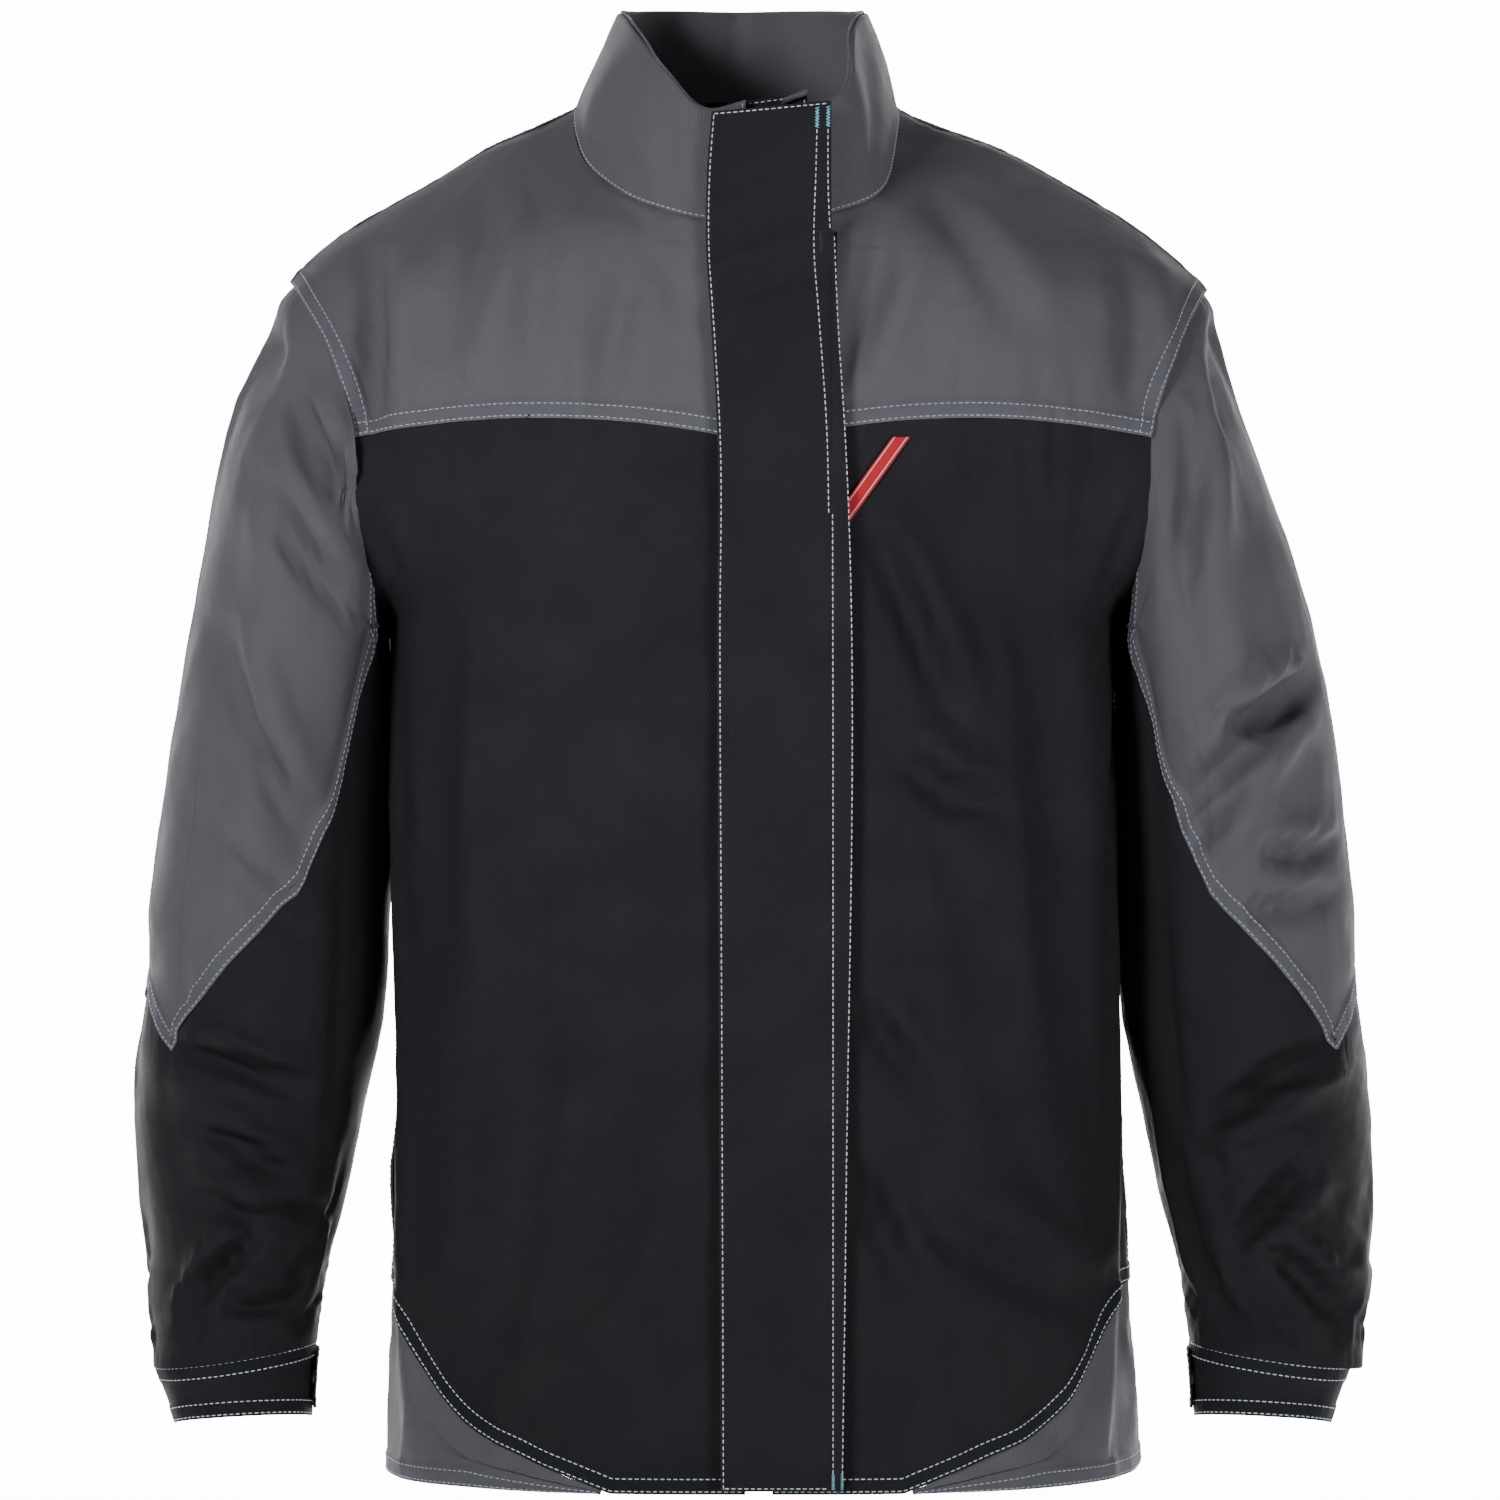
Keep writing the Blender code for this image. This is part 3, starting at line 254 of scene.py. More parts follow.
LEFT_BODY_FOLDS = [
    ([(0.203, -0.090), (0.206, -0.130), (0.204, -0.180)], 0.0125, 0.0042),
    ([(0.071, -0.068), (0.066, -0.110), (0.046, -0.168)], 0.013, 0.0040),
    ([(0.095, -0.055), (0.120, -0.095), (0.148, -0.145)], 0.015, 0.0028),
    ([(0.060, -0.235), (0.085, -0.290), (0.108, -0.350)], 0.012, 0.0046),
    ([(0.068, -0.360), (0.105, -0.385), (0.145, -0.392)], 0.012, 0.0042),
    ([(0.056, -0.490), (0.070, -0.515), (0.092, -0.540)], 0.010, 0.0034),
    ([(0.053, -0.575), (0.066, -0.610), (0.085, -0.650)], 0.011, 0.0038),
    ([(0.075, -0.600), (0.130, -0.630), (0.190, -0.665)], 0.017, 0.0040),
    ([(0.150, -0.260), (0.165, -0.380), (0.160, -0.500)], 0.018, 0.0030),
]
RIGHT_SLEEVE_FOLDS = [
    ([(-0.250, -0.165), (-0.232, -0.200), (-0.216, -0.232)], 0.010, 0.0052),
    ([(-0.262, -0.205), (-0.240, -0.250), (-0.215, -0.290)], 0.010, 0.0040),
    ([(-0.287, -0.285), (-0.268, -0.350), (-0.240, -0.410)], 0.012, 0.0046),
    ([(-0.300, -0.390), (-0.270, -0.430), (-0.232, -0.470)], 0.012, 0.0030),
    ([(-0.318, -0.520), (-0.280, -0.530), (-0.240, -0.545)], 0.009, 0.0046),
    ([(-0.304, -0.560), (-0.275, -0.575), (-0.250, -0.592)], 0.008, 0.0040),
    ([(-0.302, -0.600), (-0.285, -0.606), (-0.262, -0.618)], 0.008, 0.0034),
    ([(-0.275, -0.612), (-0.250, -0.610), (-0.225, -0.613)], 0.008, 0.0032),
    ([(-0.302, -0.655), (-0.288, -0.638), (-0.270, -0.622)], 0.008, 0.0034),
    ([(-0.290, -0.656), (-0.268, -0.660), (-0.248, -0.658)], 0.007, 0.0028),
]
LEFT_SLEEVE_FOLDS = [
    ([(0.252, -0.350), (0.272, -0.338), (0.298, -0.318)], 0.009, 0.0070),
    ([(0.292, -0.325), (0.262, -0.358), (0.226, -0.398)], 0.011, 0.0060),
    ([(0.268, -0.370), (0.252, -0.390), (0.236, -0.415)], 0.009, 0.0042),
    ([(0.268, -0.412), (0.292, -0.417), (0.318, -0.412)], 0.008, 0.0032),
    ([(0.262, -0.442), (0.288, -0.446), (0.314, -0.438)], 0.009, 0.0030),
    ([(0.246, -0.180), (0.238, -0.230), (0.228, -0.280)], 0.011, 0.0036),
    ([(0.318, -0.516), (0.280, -0.538), (0.240, -0.568)], 0.010, 0.0054),
    ([(0.302, -0.580), (0.282, -0.602), (0.258, -0.630)], 0.009, 0.0046),
    ([(0.274, -0.626), (0.294, -0.642), (0.318, -0.666)], 0.009, 0.0040),
]
BACK_FOLDS = [
    ([(-0.120, -0.230), (-0.110, -0.400), (-0.125, -0.640)], 0.022, 0.0045),
    ([(-0.040, -0.240), (-0.048, -0.420), (-0.035, -0.690)], 0.026, 0.0034),
    ([(0.060, -0.235), (0.052, -0.430), (0.068, -0.660)], 0.024, 0.0038),
    ([(0.135, -0.230), (0.120, -0.380), (0.130, -0.620)], 0.020, 0.0045),
    ([(-0.180, -0.300), (-0.120, -0.380), (-0.070, -0.420)], 0.016, 0.0030),
    ([(0.180, -0.300), (0.125, -0.370), (0.070, -0.400)], 0.016, 0.0030),
    ([(-0.110, -0.050), (-0.070, -0.090), (-0.030, -0.110)], 0.014, 0.0022),
    ([(0.120, -0.060), (0.080, -0.095), (0.040, -0.115)], 0.014, 0.0022),
]
SLEEVE_BACK_FOLDS = [
    ([(0.232, -0.200), (0.250, -0.250), (0.262, -0.300)], 0.011, 0.0040),
    ([(0.225, -0.390), (0.262, -0.370), (0.305, -0.375)], 0.011, 0.0046),
    ([(0.222, -0.450), (0.262, -0.432), (0.315, -0.440)], 0.010, 0.0044),
    ([(0.225, -0.520), (0.270, -0.498), (0.325, -0.505)], 0.010, 0.0044),
    ([(0.235, -0.590), (0.275, -0.570), (0.322, -0.575)], 0.009, 0.0034),
    ([(0.245, -0.645), (0.280, -0.632), (0.315, -0.640)], 0.009, 0.0030),
]
COLLAR_FOLDS = [
    ([(-0.082, 0.020), (-0.090, -0.020), (-0.070, -0.060)], 0.006, 0.0022),
    ([(-0.064, 0.010), (-0.072, -0.030), (-0.055, -0.068)], 0.007, 0.0018),
    ([(-0.046, -0.020), (-0.045, -0.050), (-0.035, -0.078)], 0.007, 0.0014),
    ([(0.066, 0.020), (0.072, -0.020), (0.060, -0.066)], 0.007, 0.0020),
    ([(0.080, 0.015), (0.088, -0.020), (0.072, -0.055)], 0.006, 0.0020),
]

# A panel's grid steps in from an edge, closest at the stitch lines and grooves
STITCHED_STEPS = np.array([0, 0.25, 0.7, 1.1, 1.5, 1.9, 2.4, 3.2, 4.2, 5.4, 6.6, 7.2, 7.6, 8.0,
                           8.4, 8.9, 9.7, 10.7, 12, 14]) * MM
PLAIN_STEPS = np.array([0, 0.3, 0.8, 1.5, 2.4, 4, 6, 8.5, 11.5, 14]) * MM
FIRST_STEP = 4                  # the stitch lines' places in STITCHED_STEPS
SECOND_STEP = 13
SINGLE_STEP = 3                 # the same in PLAIN_STEPS
PUCKERS = (0.0062, 0.0083, 0.0117, 0.0190)      # their wavelengths

# Thicknesses of the other pieces
FLAP_CLOTH = 2.3 * MM
BAND_CLOTH = 8.0 * MM           # the seam's folded layers fill the step down to the front panel
GUARD_CLOTH = 1.2 * MM
CUFF_CLOTH = 2.4 * MM
CUFF_TAB_CLOTH = 1.0 * MM
NECK_TAB_CLOTH = 1.0 * MM
BAG_CLOTH = 0.6 * MM
LABEL_CLOTH = 0.6 * MM
LOOP_CLOTH = 1.1 * MM
TAPE_CLOTH = 0.7 * MM

# The zip tape's folded end beside the collar: x, up, its rise from end to end, width, out
NECK_TAB_X = (0.0155, 0.0290)
NECK_TAB_UP = 0.7395
NECK_TAB_RISE = 0.0052
NECK_TAB_WIDTH = 0.0034
NECK_TAB_OUT = -0.0035
NECK_TAB_BOW = 1.1 * MM

# Snap parts' profiles: (share of the radius, share of the height)
STUD = ((1.0, 0.0), (1.0, 0.12), (0.92, 0.25), (0.62, 0.28), (0.50, 0.42), (0.46, 0.75), (0.52, 0.92),
        (0.44, 1.0), (0.15, 1.0))
SOCKET = ((0.95, 0.0), (1.0, 0.15), (1.0, 0.70), (0.90, 1.0), (0.62, 1.0), (0.55, 0.55), (0.30, 0.45),
          (0.22, 0.80), (0.08, 0.85))
STUD_RADIUS = 5.0 * MM
SOCKET_RADIUS = 6.0 * MM
CUFF_SNAP_RADIUS = 3.6 * MM
CUFF_MIDDLE = (0.281, -0.097)   # x at +X, and y

# Colours: cloth, raised seams, rubbed edges with a painted highlight along their rims
GREY = (0.062, 0.058, 0.068)
GREY_BAND = (0.058, 0.060, 0.071)
GREY_WORN_AND_HIGHLIGHT = (0.115, 0.115, 0.135)
BLACK = (0.0088, 0.0083, 0.0108)
BLACK_BAND = (0.0045, 0.0070, 0.0095)
BLACK_WORN_AND_HIGHLIGHT = (0.018, 0.020, 0.024)

# Camera, lights and stage
CAMERA_PLACE = (-0.0016, -3.07, -0.3615)
CAMERA_LENS = 130.7             # mm
CAMERA_SENSOR = 36              # mm
LIGHTS = [                      # name, place, target, width = height, watts
    ("key", (-1.35, -1.7, 0.30), (0.0, -0.15, -0.29), 0.6, 6.6),
    ("fill", (1.5, -1.7, -0.75), (0.0, -0.15, -0.28), 0.7, 5.6),
    ("back", (0.4, 2.4, 0.7), (0.0, -0.07, -0.36), 1.2, 3.0),
]
LIGHT_SPREAD = math.radians(56)
WORLD_LIGHT = 0.19
FLOOR_Z = HEM_Z - 0.25
FLOOR_HALF = 7.0
FLOOR_FRONT_Y = -6.0
BACKDROP_Y = 4.8
BACKDROP_RADIUS = 2.2
BACKDROP_TOP = 5.0
BACKDROP_STEPS = 12
# The backdrop's own glow, painted light: its strength, its middle's height, and its reach
BACKDROP_GLOW = 12.0
GLOW_MIDDLE_Z = -0.36
GLOW_REACH = (3.2, 5.0)         # distances at which the glow begins and has ended


# ---------------------------------------------------------------- small maths

def mix(a, b, f):
    return a + (b - a) * f


def smooth(f):
    f = np.clip(f, 0.0, 1.0)
    return f * f * (3.0 - 2.0 * f)


def line_at(points, x):
    """y at x on straight runs between (x, y) points."""
    return np.interp(x, [p[0] for p in points], [p[1] for p in points])


def curve_at(points, x):
    """y at x on a smooth curve through (x, y) points."""
    xs, ys = np.array(points, float).T
    slopes = np.gradient(ys, xs)
    x = np.clip(x, xs[0], xs[-1])
    i = np.clip(np.searchsorted(xs, x) - 1, 0, len(xs) - 2)
    span = xs[i + 1] - xs[i]
    f = (x - xs[i]) / span
    rest = (slopes[i] * (f**3 - 2 * f**2 + f) + slopes[i + 1] * (f**3 - f**2)) * span
    return ys[i] * (2 * f**3 - 3 * f**2 + 1) + ys[i + 1] * (3 * f**2 - 2 * f**3) + rest


def unit(v):
    return v / np.maximum(np.linalg.norm(v, axis=-1, keepdims=True), 1e-12)


def walk(points, axis):
    """The distance walked along an axis of a grid of points."""
    steps = np.linalg.norm(np.diff(points, axis=axis), axis=-1)
    start = np.zeros_like(np.take(steps, [0], axis=axis))
    return np.concatenate([start, np.cumsum(steps, axis=axis)], axis=axis)


def waves(run, lengths, seed):
    """An irregular wave along a distance, from -1 to 1, of the given wavelengths."""
    phases = np.random.default_rng(seed).uniform(0, 2 * math.pi, len(lengths))
    return sum(np.sin(2 * math.pi * run / w + p) for w, p in zip(lengths, phases)) / len(lengths)


def ripples(points, wavelength, seed):
    """A soft irregular pattern in space, from about -1 to 1."""
    chance = np.random.default_rng(seed)
    total = np.zeros(points.shape[:-1])
    for _ in range(7):
        direction = unit(chance.normal(size=3)) * 2 * math.pi / (wavelength * chance.uniform(0.7, 1.6))
        bend = unit(chance.normal(size=3)) * 2 * math.pi / (wavelength * 2.7)
        total += np.sin(points @ direction + 1.6 * np.sin(points @ bend) + chance.uniform(0, 6.28))
    return total / 4.0


class Path:
    """A smooth curve through points, read at 0 to 1 by length."""

    def __init__(self, points):
        self.points = [Vector(p) for p in points]
        self.lengths = [0.0]
        for a, b in zip(self.points, self.points[1:]):
            self.lengths.append(self.lengths[-1] + (b - a).length)

    def knot(self, index):
        return self.lengths[index] / self.lengths[-1]

    def slope(self, index):
        low = max(index - 1, 0)
        high = min(index + 1, len(self.points) - 1)
        return (self.points[high] - self.points[low]) / (self.lengths[high] - self.lengths[low])

    def at(self, share):
        distance = min(max(share, 0.0), 1.0) * self.lengths[-1]
        i = 0
        while i < len(self.points) - 2 and distance > self.lengths[i + 1]:
            i += 1
        span = self.lengths[i + 1] - self.lengths[i]
        f = (distance - self.lengths[i]) / span
        start = self.points[i] * (2 * f**3 - 3 * f**2 + 1)
        end = self.points[i + 1] * (3 * f**2 - 2 * f**3)
        leave = self.slope(i) * span * (f**3 - 2 * f**2 + f)
        arrive = self.slope(i + 1) * span * (f**3 - f**2)
        return start + end + leave + arrive

    def share_at_height(self, z):
        rising = self.points[-1].z > self.points[0].z
        low, high = 0.0, 1.0
        for _ in range(30):
            middle = (low + high) / 2
            if (self.at(middle).z < z) == rising:
                low = middle
            else:
                high = middle
        return (low + high) / 2


# ---------------------------------------------------------------- the CAD panels' shapes

SIDE = Path(SIDE_SEAM)
HOLE_FRONT = Path(ARMHOLE_FRONT)
HOLE_BACK = Path(ARMHOLE_BACK)
NECK_LINE = Path(NECK)
SPINE = Path(BACK_CENTRE)
NECK_LENGTH = NECK_LINE.lengths[-1]
NECK_FRONT_LENGTH = NECK_LINE.lengths[NECK_SIDE]
NECK_BACK_LENGTH = NECK_LENGTH - NECK_FRONT_LENGTH


def front_plane(x, up, out):
    return FRONT_HEM + Vector((x, 0.0, 0.0)) + UP * up + OUT * out


def outer_edge(t, hole):
    if t <= 1.0:
        return SIDE.at(t)
    seam = hole.knot(YOKE_POINT)
    if t <= 2.0:
        return hole.at(seam * (t - 1.0))
    return hole.at(mix(seam, 1.0, t - 2.0))


def front_inner_edge(t, edge):
    rise = NECK[0][2] - YOKE_Z
    per_t = rise + NECK_FRONT_LENGTH - edge
    if t <= 1.0:
        height = mix(HEM_Z, UNDERARM_Z, t)
    elif t <= 2.0:
        height = mix(UNDERARM_Z, YOKE_Z, t - 1.0)
    else:
        walked = (t - 2.0) * per_t - rise
        if walked >= 0:
            return NECK_LINE.at((edge + walked) / NECK_LENGTH)
        height = YOKE_Z + (t - 2.0) * per_t
    return front_plane(edge, (height - HEM_Z) / UP.z, 0.0)


def back_inner_edge(t):
    if t <= 1.0:
        return SPINE.at(SPINE.share_at_height(outer_edge(t, HOLE_BACK).z))
    if t <= 2.0:
        return SPINE.at(SPINE.share_at_height(mix(UNDERARM_Z, BACK_CENTRE[3][2], t - 1.0)))
    rise = SPINE.lengths[-1] - SPINE.lengths[BACK_YOKE_POINT]
    walked = (t - 2.0) * (rise + NECK_BACK_LENGTH)
    if walked >= rise:
        return NECK_LINE.at(1.0 - (walked - rise) / NECK_LENGTH)
    return SPINE.at(SPINE.knot(BACK_YOKE_POINT) + walked / SPINE.lengths[-1])


def body_point(s, t, inner, outer, roundness, crown):
    angle = s * math.pi / 2
    sine, cosine = math.sin(angle), max(math.cos(angle), 0.0)
    reach = (sine**roundness + cosine**roundness) ** (-1.0 / roundness)
    above = smooth((t - 0.7) / 1.1)
    across = mix(sine * reach, s, above)
    around = mix(1.0 - cosine * reach, s**CHEST_CURVE, above)
    rise = line_at([(1.0, 0.0), (2.0, YOKE_RISE), (3.0, SHOULDER_RISE)], t)
    bulge = smooth((s - CROWN_START) / 0.4) * smooth((1.0 - s) / 0.4)
    swell = crown * smooth(t - 1.2) * smooth(1.2 * (3.0 - t))
    arch = mix(4.0 * s * (1.0 - s), smooth(s / 0.4) * (1.0 - s**8), smooth(t - 2.0))
    return (mix(inner.x, outer.x, across), mix(inner.y, outer.y, around) + bulge * swell,
            mix(inner.z, outer.z, s) + arch * rise)


def section_point(section, degrees):
    outer, inner, middle_y, half_depth = section
    angle = math.radians(degrees)
    across = 0.5 + math.cos(angle) / 2
    return Vector((mix(inner[0], outer[0], across), middle_y - half_depth * math.sin(angle),
                   mix(inner[1], outer[1], across)))


def sleeve_middle(side):
    return 0.26 * side, -0.065, -0.42


def sleeve_line(degrees):
    turned = (degrees + 180) % 360 - 180
    hole = HOLE_FRONT if turned >= 0 else HOLE_BACK
    start = hole.at(1.0 - abs(turned) / 180) + SLEEVE_SHIFT
    return Path([start] + [section_point(section, turned) for section in SLEEVE_SECTIONS])


def corner_height(s):
    """t at the top of the rounded side panel."""
    return np.maximum(curve_at(HEM_CORNER, np.abs(s)), 0.0) / (UNDERARM_Z - HEM_Z)


def mouth(t):
    """How far a panel's side edge stands back from the side seam, in s."""
    low, high = MOUTH_T
    share = np.clip((t - low) / (high - low), 0, 1)
    return MOUTH_GAPE * np.minimum(1.0, 2.0 * np.sin(math.pi * share)) / SIDE_ARC


# ---------------------------------------------------------------- smooth surfaces

def cubic(f):
    """The four weights of a Catmull-Rom step."""
    return (f * (f * (2 - f) - 1) / 2, (f * f * (3 * f - 5) + 2) / 2,
            f * (f * (4 - 3 * f) + 1) / 2, f * f * (f - 1) / 2)


class Shell:
    """A coarse grid of points over a (across) and b (along), read smoothly in between."""

    def __init__(self, a, b, points, ring=False):
        self.a = np.asarray(a, float)
        self.b = np.asarray(b, float)
        self.points = np.array(points, float)
        self.ring = ring

    def normals(self, inside):
        padded = self.padded()
        along_a = padded[1:-1, 2:] - padded[1:-1, :-2]
        along_b = padded[2:, 1:-1] - padded[:-2, 1:-1]
        columns = self.points.shape[1]
        normal = unit(np.cross(along_a[:, :columns], along_b[:, :columns]))
        return normal * np.sign(np.sum(normal * (self.points - inside)))

    def padded(self):
        if self.ring:
            points = np.concatenate([self.points[:, -1:], self.points, self.points[:, :2]], axis=1)
            return np.pad(points, ((1, 1), (0, 0), (0, 0)), mode="reflect", reflect_type="odd")
        return np.pad(self.points, ((1, 1), (1, 1), (0, 0)), mode="reflect", reflect_type="odd")

    def at(self, a, b):
        padded = self.padded()
        if self.ring:
            column = (a - self.a[0]) / (self.a[1] - self.a[0]) % len(self.a)
            j = np.clip(column.astype(int), 0, len(self.a) - 1)
        else:
            column = np.interp(a, self.a, np.arange(len(self.a)))
            j = np.clip(column.astype(int), 0, len(self.a) - 2)
        row = np.interp(b, self.b, np.arange(len(self.b)))
        i = np.clip(row.astype(int), 0, len(self.b) - 2)
        total = 0.0
        for p, row_weight in enumerate(cubic(row - i)):
            for q, column_weight in enumerate(cubic(column - j)):
                total = total + (row_weight * column_weight)[..., None] * padded[i + p, j + q]
        return total


def under(shell, depth, inside):
    """A surface at a depth below a shell's outer side."""
    def surface(a, b):
        step = 0.004
        across = shell.at(np.minimum(a + step, 1.0), b) - shell.at(np.maximum(a - step, 0.0), b)
        along = shell.at(a, b + step) - shell.at(a, b - step)
        point = shell.at(a, b)
        normal = unit(np.cross(across, along))
        normal *= np.sign(np.sum(normal * (point - np.array(inside)), axis=-1, keepdims=True))
        return point - normal * np.asarray(depth(a, b))[..., None]
    return surface


def even(depth):
    """The same depth everywhere, for under()."""
    return lambda a, b: np.full(np.shape(a), depth)


def find(shell, x, z, s=0.3, t=1.5):
    """s and t of the points of a front shell at given x and z."""
    s, t = np.full(np.shape(x), s), np.full(np.shape(x), t)
    for _ in range(25):
        point = shell.at(s, t)
        s = np.clip(s + (x - point[..., 0]) / 0.22, 0, 1)
        t = np.clip(t + (z - point[..., 2]) / 0.10, 0, 3)
    return s, t


def front_shell(side, edge):
    points = [[body_point(s, t, front_inner_edge(t, edge), outer_edge(t, HOLE_FRONT),
                          FRONT_ROUNDNESS, -YOKE_CROWN) for s in HALF_COLUMNS] for t in BODY_ROWS]
    points = np.array(points) * (side, 1, 1)
    s, t = np.meshgrid(HALF_COLUMNS, BODY_ROWS)
    share = smooth((t - 2.05) / 0.1) * smooth((2.95 - t) / 0.1)
    share = share * smooth(s / 0.08) * (1 - smooth((s - 0.6) / 0.3))
    for _ in range(NECK_CORNER_EASE):
        points[1:-1] += 0.25 * share[1:-1, :, None] * (points[2:] + points[:-2] - 2 * points[1:-1])
    return Shell(HALF_COLUMNS, BODY_ROWS, points)


def back_shell(side):
    points = [[body_point(s, t, back_inner_edge(t), outer_edge(t, HOLE_BACK),
                          BACK_ROUNDNESS, YOKE_CROWN * 0.6) for s in HALF_COLUMNS] for t in BODY_ROWS]
    return Shell(HALF_COLUMNS, BODY_ROWS, np.array(points) * (side, 1, 1))


def whole_back(shells):
    """The back below the yoke as one shell, from -1, the right side seam, to 1."""
    rows = BODY_ROWS < 2.05
    right, left = shells["back_right"].points[rows], shells["back_left"].points[rows]
    columns = np.concatenate([-HALF_COLUMNS[:0:-1], HALF_COLUMNS])
    return Shell(columns, BODY_ROWS[rows], np.concatenate([right[:, :0:-1], left], axis=1))


def sleeve_shell(side):
    lines = [sleeve_line(a) for a in SLEEVE_ANGLES]
    points = np.array([[line.at(share) for line in lines] for share in SLEEVE_ROWS])
    inner = (0.5 - np.cos(np.radians(SLEEVE_ANGLES)) / 2) ** 3
    reach, low, fade = SLEEVE_TOUCH
    start = smooth(SLEEVE_ROWS / 0.1)[:, None]
    points[..., 0] -= reach * inner * smooth((points[..., 2] - low) / fade) * start
    return Shell(SLEEVE_ANGLES, SLEEVE_ROWS, points * (side, 1, 1), ring=True)


def follow_outline(shell, outline, side, weights):
    """Moves each row of a shell sideways until its outermost point lies on an outline."""
    across = shell.points[..., 0] * side
    rows = np.arange(len(across))
    outer = np.argmax(across, axis=1)
    wanted = line_at(outline, shell.points[rows, outer, 2])
    shell.points[..., 0] += side * (wanted - across[rows, outer])[:, None] * weights(across)


def from_inner_side(across):
    low, high = across.min(axis=1, keepdims=True), across.max(axis=1, keepdims=True)
    start = smooth(SLEEVE_ROWS / 0.025)[:, None]
    return ((across - low) / (high - low)) ** 1.5 * start


def from_middle(across):
    return np.broadcast_to(HALF_COLUMNS ** 3, across.shape) * (BODY_ROWS < 1.0)[:, None]


def swell_shoulder(points):
    """Fills the right shoulder out, up and sideways."""
    (x, z), width, amount = SHOULDER_SWELL
    share = np.exp(-((points[..., 0] - x) ** 2 + (points[..., 2] - z) ** 2) / width ** 2)
    points += amount * share[..., None] * np.array((-0.7, 0.0, 0.7))


def lean_neck(points):
    """Shifts the collar and the cloth round the neck, except at the front."""
    x, y, z = points[..., 0], points[..., 1], points[..., 2]
    share = smooth((z + 0.12) / 0.10) * (1 - smooth((np.abs(x) - 0.09) / 0.12)) * smooth((y + 0.155) / 0.05)
    share = share * (1 - 0.7 * smooth((z + 0.01) / 0.04) * smooth(-x / 0.05))
    points[..., 0] += NECK_LEAN * share


# ---------------------------------------------------------------- folds

def crease(shell, normals, line, width, depth, facing):
    """Presses a fold in: a valley along a line seen along Y, and a ridge beside it."""
    seen = shell.points[..., [0, 2]]
    line = np.array(line)
    lengths = np.linalg.norm(np.diff(line, axis=0), axis=1)
    nearest = np.full(seen.shape[:-1], np.inf)
    signed = np.zeros_like(nearest)
    along = np.zeros_like(nearest)
    for k, (a, b) in enumerate(zip(line, line[1:])):
        f = np.clip((seen - a) @ (b - a) / lengths[k]**2, 0, 1)
        off = seen - a - f[..., None] * (b - a)
        distance = np.linalg.norm(off, axis=-1)
        closer = distance < nearest
        turn = (b - a)[0] * off[..., 1] - (b - a)[1] * off[..., 0]
        signed = np.where(closer, np.copysign(distance, turn), signed)
        along = np.where(closer, (lengths[:k].sum() + f * lengths[k]) / lengths.sum(), along)
        nearest = np.minimum(nearest, distance)
    q = signed / width
    shape = RIDGE_SHARE * np.exp(-1.2 * (q - RIDGE_PLACE) ** 2) - np.exp(-VALLEY_SHARPNESS * q * q)
    taper = np.sin(math.pi * np.clip(along, 0, 1)) ** 0.8
    turned = smooth(normals[..., 1] * facing * 1.6)
    shell.points += normals * (depth * shape * taper * turned)[..., None]


def press(shell, folds, inside, facing, share=1.0, side=1):
    normals = shell.normals(inside)
    for line, width, depth in folds:
        crease(shell, normals, [(x * side, z) for x, z in line], width, share * depth, facing)


# ---------------------------------------------------------------- cloth simulation

def near(value, edge, width):
    """1 at the edge, falling to 0 at a width from it."""
    return 1.0 - smooth(np.abs(value - edge) / width)


def body_hold(s, t):
    """How firmly the body's cloth keeps its place: at its seams, front edge and pockets."""
    s = np.abs(s)
    hold = 0.6 * near(s, 1.0, 0.12) + 0.25 * near(t, 2.0, 0.10) + 0.5 * near(t, 0.0, 0.06)
    hold = np.maximum(hold, (t > 1.0) * near(s, 1.0, 0.10))
    hold = np.maximum(hold, (t > 2.3) * near(s, 0.0, 0.15))
    hold = np.maximum(hold, near(t, 3.0, 0.45))
    return np.clip(hold + 0.03, 0, 1)


def sleeve_hold(angle, share):
    hold = 0.5 * near(np.abs(angle), 180, 40)
    hold = np.maximum(hold, near(share, 0.0, 0.05))
    hold = np.maximum(hold, near(share, 1.0, 0.04))
    return np.clip(hold + 0.02, 0, 1)


def simulate(parts):
    """Relaxes all shells as one sewn cloth. parts holds (shell, hold, growth) of each."""
    index, points, faces, holds, growths, numbers = {}, [], [], [], [], []
    for shell, hold, growth in parts:
        rows, columns = shell.points.shape[:2]
        ids = np.zeros((rows, columns), int)
        for i in range(rows):
            for j in range(columns):
                key = tuple(np.round(shell.points[i, j] / (0.02 * MM)).astype(int))
                if key not in index:
                    index[key] = len(points)
                    points.append(shell.points[i, j])
                    holds.append(0.0)
                    growths.append(0.0)
                ids[i, j] = index[key]
                holds[ids[i, j]] = max(holds[ids[i, j]], float(hold[i, j]))
                growths[ids[i, j]] = max(growths[ids[i, j]], growth)
        last = columns if shell.ring else columns - 1
        for i in range(rows - 1):
            for j in range(last):
                k = (j + 1) % columns
                face = [ids[i, j], ids[i, k], ids[i + 1, k], ids[i + 1, j]]
                if len(set(face)) == 4:
                    faces.append([int(f) for f in face])
        numbers.append(ids)
    moved = run_cloth(np.array(points), faces, holds, growths)
    for (shell, _, _), ids in zip(parts, numbers):
        shell.points = moved[ids]


